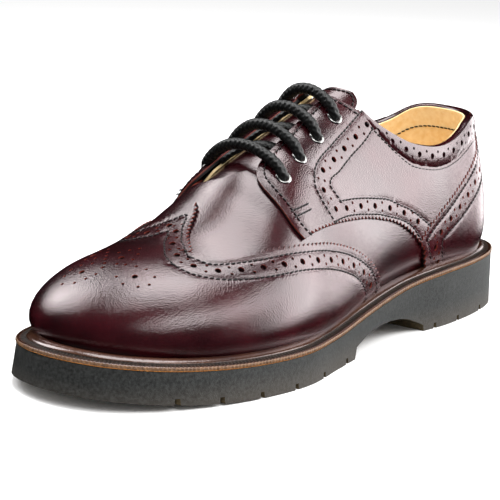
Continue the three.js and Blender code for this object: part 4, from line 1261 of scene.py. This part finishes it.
# Outsole: moulded rubber, its wall flared to the ground, slots under the edge.
soleFacts = {"count": 420, "flare": 1.9, "slots": [0.557, 0.639, 0.714, 0.781, 0.846, 0.906],
             "heelSlots": [0.128, 0.215, 0.284], "slotWide": 2.3, "slotHigh": 2.7, "slotDeep": 11,
             "breast": 0.3125, "treadStart": 0.527, "inset": 0.25, "slotDraft": 0.3, "slotTaper": 0.2}
archRows = [(0.3148, 3.1), (0.325, 4.6), (0.342, 6.6), (0.356, 8.2), (0.379, 9.6), (0.41, 10.4),
            (0.443, 10.1), (0.4765, 8.7), (0.504, 6.8), (0.521, 5.3)]


def prismOf(points, axis, low, high):
    # an outline pushed along an axis into a closed solid
    bm = bmesh.new()
    verts = [bm.verts.new((p[0], p[1], low) if axis == "z" else (low, p[0], p[1])) for p in points]
    pushed(bm, [bm.faces.new(verts)], (0, 0, high - low) if axis == "z" else (high - low, 0, 0))
    piece = bpy.data.objects.new("cutter", meshOf("cutter", bm))
    scene.collection.objects.link(piece)
    return piece


def cutWith(piece, cutter, operation):
    modifier = piece.modifiers.new("cut", "BOOLEAN")
    modifier.operation = operation
    modifier.solver = "EXACT"
    modifier.object = cutter
    shaped = bpy.data.meshes.new_from_object(piece.evaluated_get(bpy.context.evaluated_depsgraph_get()))
    piece.modifiers.clear()
    old = piece.data
    piece.data = shaped
    bpy.data.meshes.remove(old)
    bpy.data.objects.remove(cutter)


def soleY(share):
    return (0.5 - share) * shoe["length"]


def nearestOn(ring, x, y):
    gap = np.hypot(ring[:, 0] - x, ring[:, 1] - y)
    k = int(gap.argmin())
    return k, gap[k]


def makeOutsole():
    ring, inward = outlineAt(soleFacts["count"])
    edgeRing = ring + inward * soleFacts["inset"]
    body = prismOf(edgeRing, "z", -5, 60)

    def spring(y):
        return shoe["toeSpring"] * toePart(0.5 - y / shoe["length"])
    under = [(170, 0), (soleY(soleFacts["breast"]), 0)]
    under += [(soleY(at), rise) for at, rise in archRows]
    under += [(soleY(soleFacts["treadStart"]), 0)]
    under += [(y, float(spring(y))) for y in np.linspace(-70, -165, 20)]
    over = [(y, float(rubberTop(y)) + 0.3) for y in np.linspace(-165, 170, 90)]
    cutWith(body, prismOf(under + over, "x", -100, 100), "INTERSECT")
    for share in soleFacts["slots"] + soleFacts["heelSlots"]:
        y = soleY(share)
        low = float(spring(y))
        for side in (1, -1):
            near = ring[(np.abs(ring[:, 1] - y) < 2) & (np.sign(ring[:, 0] + 5) == side)]
            edge = near[:, 0].mean()
            half, high = soleFacts["slotWide"] / 2, soleFacts["slotHigh"]
            draft, taper = soleFacts["slotDraft"], soleFacts["slotTaper"]
            slot = [(y - half - draft, low - 3), (y + half + draft, low - 3), (y + half - taper, low + high),
                    (y - half + taper, low + high)]
            ends = sorted([edge - side * soleFacts["slotDeep"], edge + side * 12])
            cutWith(body, prismOf(slot, "x", *ends), "DIFFERENCE")
    bm = bmesh.new()
    bm.from_mesh(body.data)
    bpy.data.objects.remove(body)
    bmesh.ops.remove_doubles(bm, verts=list(bm.verts), dist=0.01)
    bmesh.ops.dissolve_degenerate(bm, dist=0.01, edges=list(bm.edges))
    # the wall leans out to the ground, most of all at the toe
    for v in bm.verts:
        x, y, z = v.co
        k, gap = nearestOn(edgeRing, x, y)
        if gap < 1.2:
            low = float(spring(ring[k][1]))
            top = float(rubberTop(ring[k][1]))
            share = np.clip((top - z) / (top - low), 0, 1)
            wide = soleFacts["flare"] * (0.25 + 0.75 * float(smooth(-20, -120, ring[k][1])))
            push = -inward[k] * wide * share
            v.co.x += push[0]
            v.co.y += push[1]
    for f in bm.faces:
        centre = f.calc_center_median()
        k, gap = nearestOn(edgeRing, centre.x, centre.y)
        outside = gap < 3.2 and abs(f.normal.z) < 0.5
        along = abs(f.normal.x * inward[k][0] + f.normal.y * inward[k][1])
        f.material_index = 0 if (outside and along > 0.7) or f.normal.z > 0.5 else 1
        f.smooth = True
    for v in bm.verts:
        v.co = toScene(np.array(v.co))
    bmesh.ops.recalc_face_normals(bm, faces=list(bm.faces))
    mesh = meshOf("rubber_sole", bm)
    piece = objectOf("rubber_sole", mesh, [wallRubber, treadRubber])
    bevel = piece.modifiers.new("soft_edges", "BEVEL")
    bevel.width = 0.0005
    bevel.segments = 2
    bevel.limit_method = "ANGLE"
    bevel.angle_limit = math.radians(38)
    mesh.set_sharp_from_angle(angle=math.radians(30))
    return piece


rubberSole = makeOutsole()
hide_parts("outsole")
print("outsole")

# Stitches: one small waxed capsule, set along every remembered row.
stitchFacts = {"length": 1.1, "thick": 0.42, "rise": 0.2}


def makeStitches():
    seed = bmesh.new()
    bmesh.ops.create_uvsphere(seed, u_segments=6, v_segments=5, radius=1)
    lying = Matrix.Rotation(math.pi / 2, 3, "Y")
    bmesh.ops.rotate(seed, verts=list(seed.verts), cent=(0, 0, 0), matrix=lying)
    seed.verts.ensure_lookup_table()
    shape = np.array([v.co[:] for v in seed.verts])
    faces = [[v.index for v in f.verts] for f in seed.faces]
    seed.free()
    shape[:, 0] = np.sign(shape[:, 0]) * np.abs(shape[:, 0]) ** 0.8
    shape = shape * [stitchFacts["length"], stitchFacts["thick"], stitchFacts["thick"]]
    spots, loops = [], []
    for path, pitch, height in stitchRows:
        points = resampled(path, pitch)
        normal = formNormal(points)
        along = unit(np.gradient(points, axis=0))
        aside = np.cross(normal, along)
        points = points + normal * height(points)[:, None]
        for p, n, t, b in zip(points, normal, along, aside):
            slant = unit(t + b * 0.12)
            cross = np.cross(n, slant)
            start = len(spots) * len(shape)
            turned = shape[:, :1] * slant + shape[:, 1:2] * cross + shape[:, 2:] * n
            spots.append(p + n * stitchFacts["rise"] + turned)
            loops.extend([[i + start for i in f] for f in faces])
    mesh = bpy.data.meshes.new("stitches")
    mesh.from_pydata([tuple(v) for v in toScene(np.concatenate(spots))], [], loops)
    for face in mesh.polygons:
        face.use_smooth = True
    return objectOf("stitches", mesh, [waxedThread])


stitches = makeStitches()
print("stitches", len(stitches.data.polygons))

standIns = [(wing, "wingtip"), (vamp, "upper"), (outerSide, "outer_quarter"), (innerSide, "inner_quarter"),
            (counter, "counter"), (outerRoll, "outer_collar"), (innerRoll, "inner_collar"),
            (tongue, "tongue")]
for piece, node in standIns:
    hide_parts(node)
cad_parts["insole"].data.materials.clear()
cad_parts["insole"].data.materials.append(liningHide)


# Camera at the photograph's angle, worked out from the sole's outline.
cameraFacts = {"around": 37.391, "up": 12.541, "far": 858.032, "focal": 1830.352, "aside": -15.18,
               "height": 40.825, "roll": -2.23, "picture": 500, "sensor": 36.0}


def awayAt(around, up):
    # a direction from the shoe: degrees round it and degrees up
    a, e = math.radians(around), math.radians(up)
    return Vector((math.sin(a) * math.cos(e), -math.cos(a) * math.cos(e), math.sin(e)))


def makeCamera():
    a = math.radians(cameraFacts["around"])
    back = awayAt(cameraFacts["around"], cameraFacts["up"])
    right = Vector((math.cos(a), math.sin(a), 0))
    aim = Vector((shoe["shiftX"], 0, cameraFacts["height"])) + right * cameraFacts["aside"]
    data = bpy.data.cameras.new("camera")
    data.sensor_width = cameraFacts["sensor"]
    data.sensor_fit = "HORIZONTAL"
    data.lens = cameraFacts["focal"] * cameraFacts["sensor"] / cameraFacts["picture"]
    data.clip_end = 20
    camera = bpy.data.objects.new("camera", data)
    scene.collection.objects.link(camera)
    turn = Matrix((right, back.cross(right), back)).transposed().to_4x4()
    roll = Matrix.Rotation(-math.radians(cameraFacts["roll"]), 4, "Z")
    camera.matrix_world = Matrix.Translation((aim + back * cameraFacts["far"]) / 1000) @ turn @ roll
    scene.camera = camera


makeCamera()

# Studio: five softboxes round the shoe, a white floor and an even white sky.
# around: degrees from the camera to its right; up: degrees; size and distance in metres.
lightFacts = {
    "right box": {"around": 99, "up": 20, "wide": 0.8, "high": 1.0, "far": 1.1, "glow": 5.8},
    "back box": {"around": 140, "up": 2, "wide": 0.8, "high": 0.7, "far": 1.5, "glow": 3.0},
    "left box": {"around": -122, "up": 40, "wide": 0.5, "high": 0.55, "far": 1.1, "glow": 6.5},
    "front box": {"around": 38, "up": 47, "wide": 1.0, "high": 0.34, "far": 1.1, "glow": 6.2},
    "top box": {"around": 178, "up": 80, "wide": 0.8, "high": 0.75, "far": 1.1, "glow": 6.2},
}


def softbox(name, around, up, wide, high, far, glow):
    data = bpy.data.lights.new(name, "AREA")
    data.shape = "RECTANGLE"
    data.size = wide
    data.size_y = high
    data.energy = glow * math.pi * wide * high
    away = awayAt(cameraFacts["around"] + around, up)
    lamp = bpy.data.objects.new(name, data)
    scene.collection.objects.link(lamp)
    lamp.location = Vector((0, 0, 0.05)) + away * far
    lamp.rotation_euler = away.to_track_quat("Z", "Y").to_euler()
    lamp.visible_camera = False


for name, facts in lightFacts.items():
    softbox(name, **facts)


bm = bmesh.new()
bmesh.ops.create_grid(bm, x_segments=1, y_segments=1, size=6)
white = startMaterial("white_floor", "#ffffff", 0.9)[0]
floor = objectOf("floor", meshOf("floor", bm), [white], False)
floor.visible_glossy = False
world = bpy.data.worlds.new("studio")
scene.world = world
world.use_nodes = True
world.node_tree.nodes["Background"].inputs["Color"].default_value = (1, 1, 1, 1)
world.node_tree.nodes["Background"].inputs["Strength"].default_value = 0.85
world.cycles_visibility.glossy = False
scene.view_settings.view_transform = "Standard"
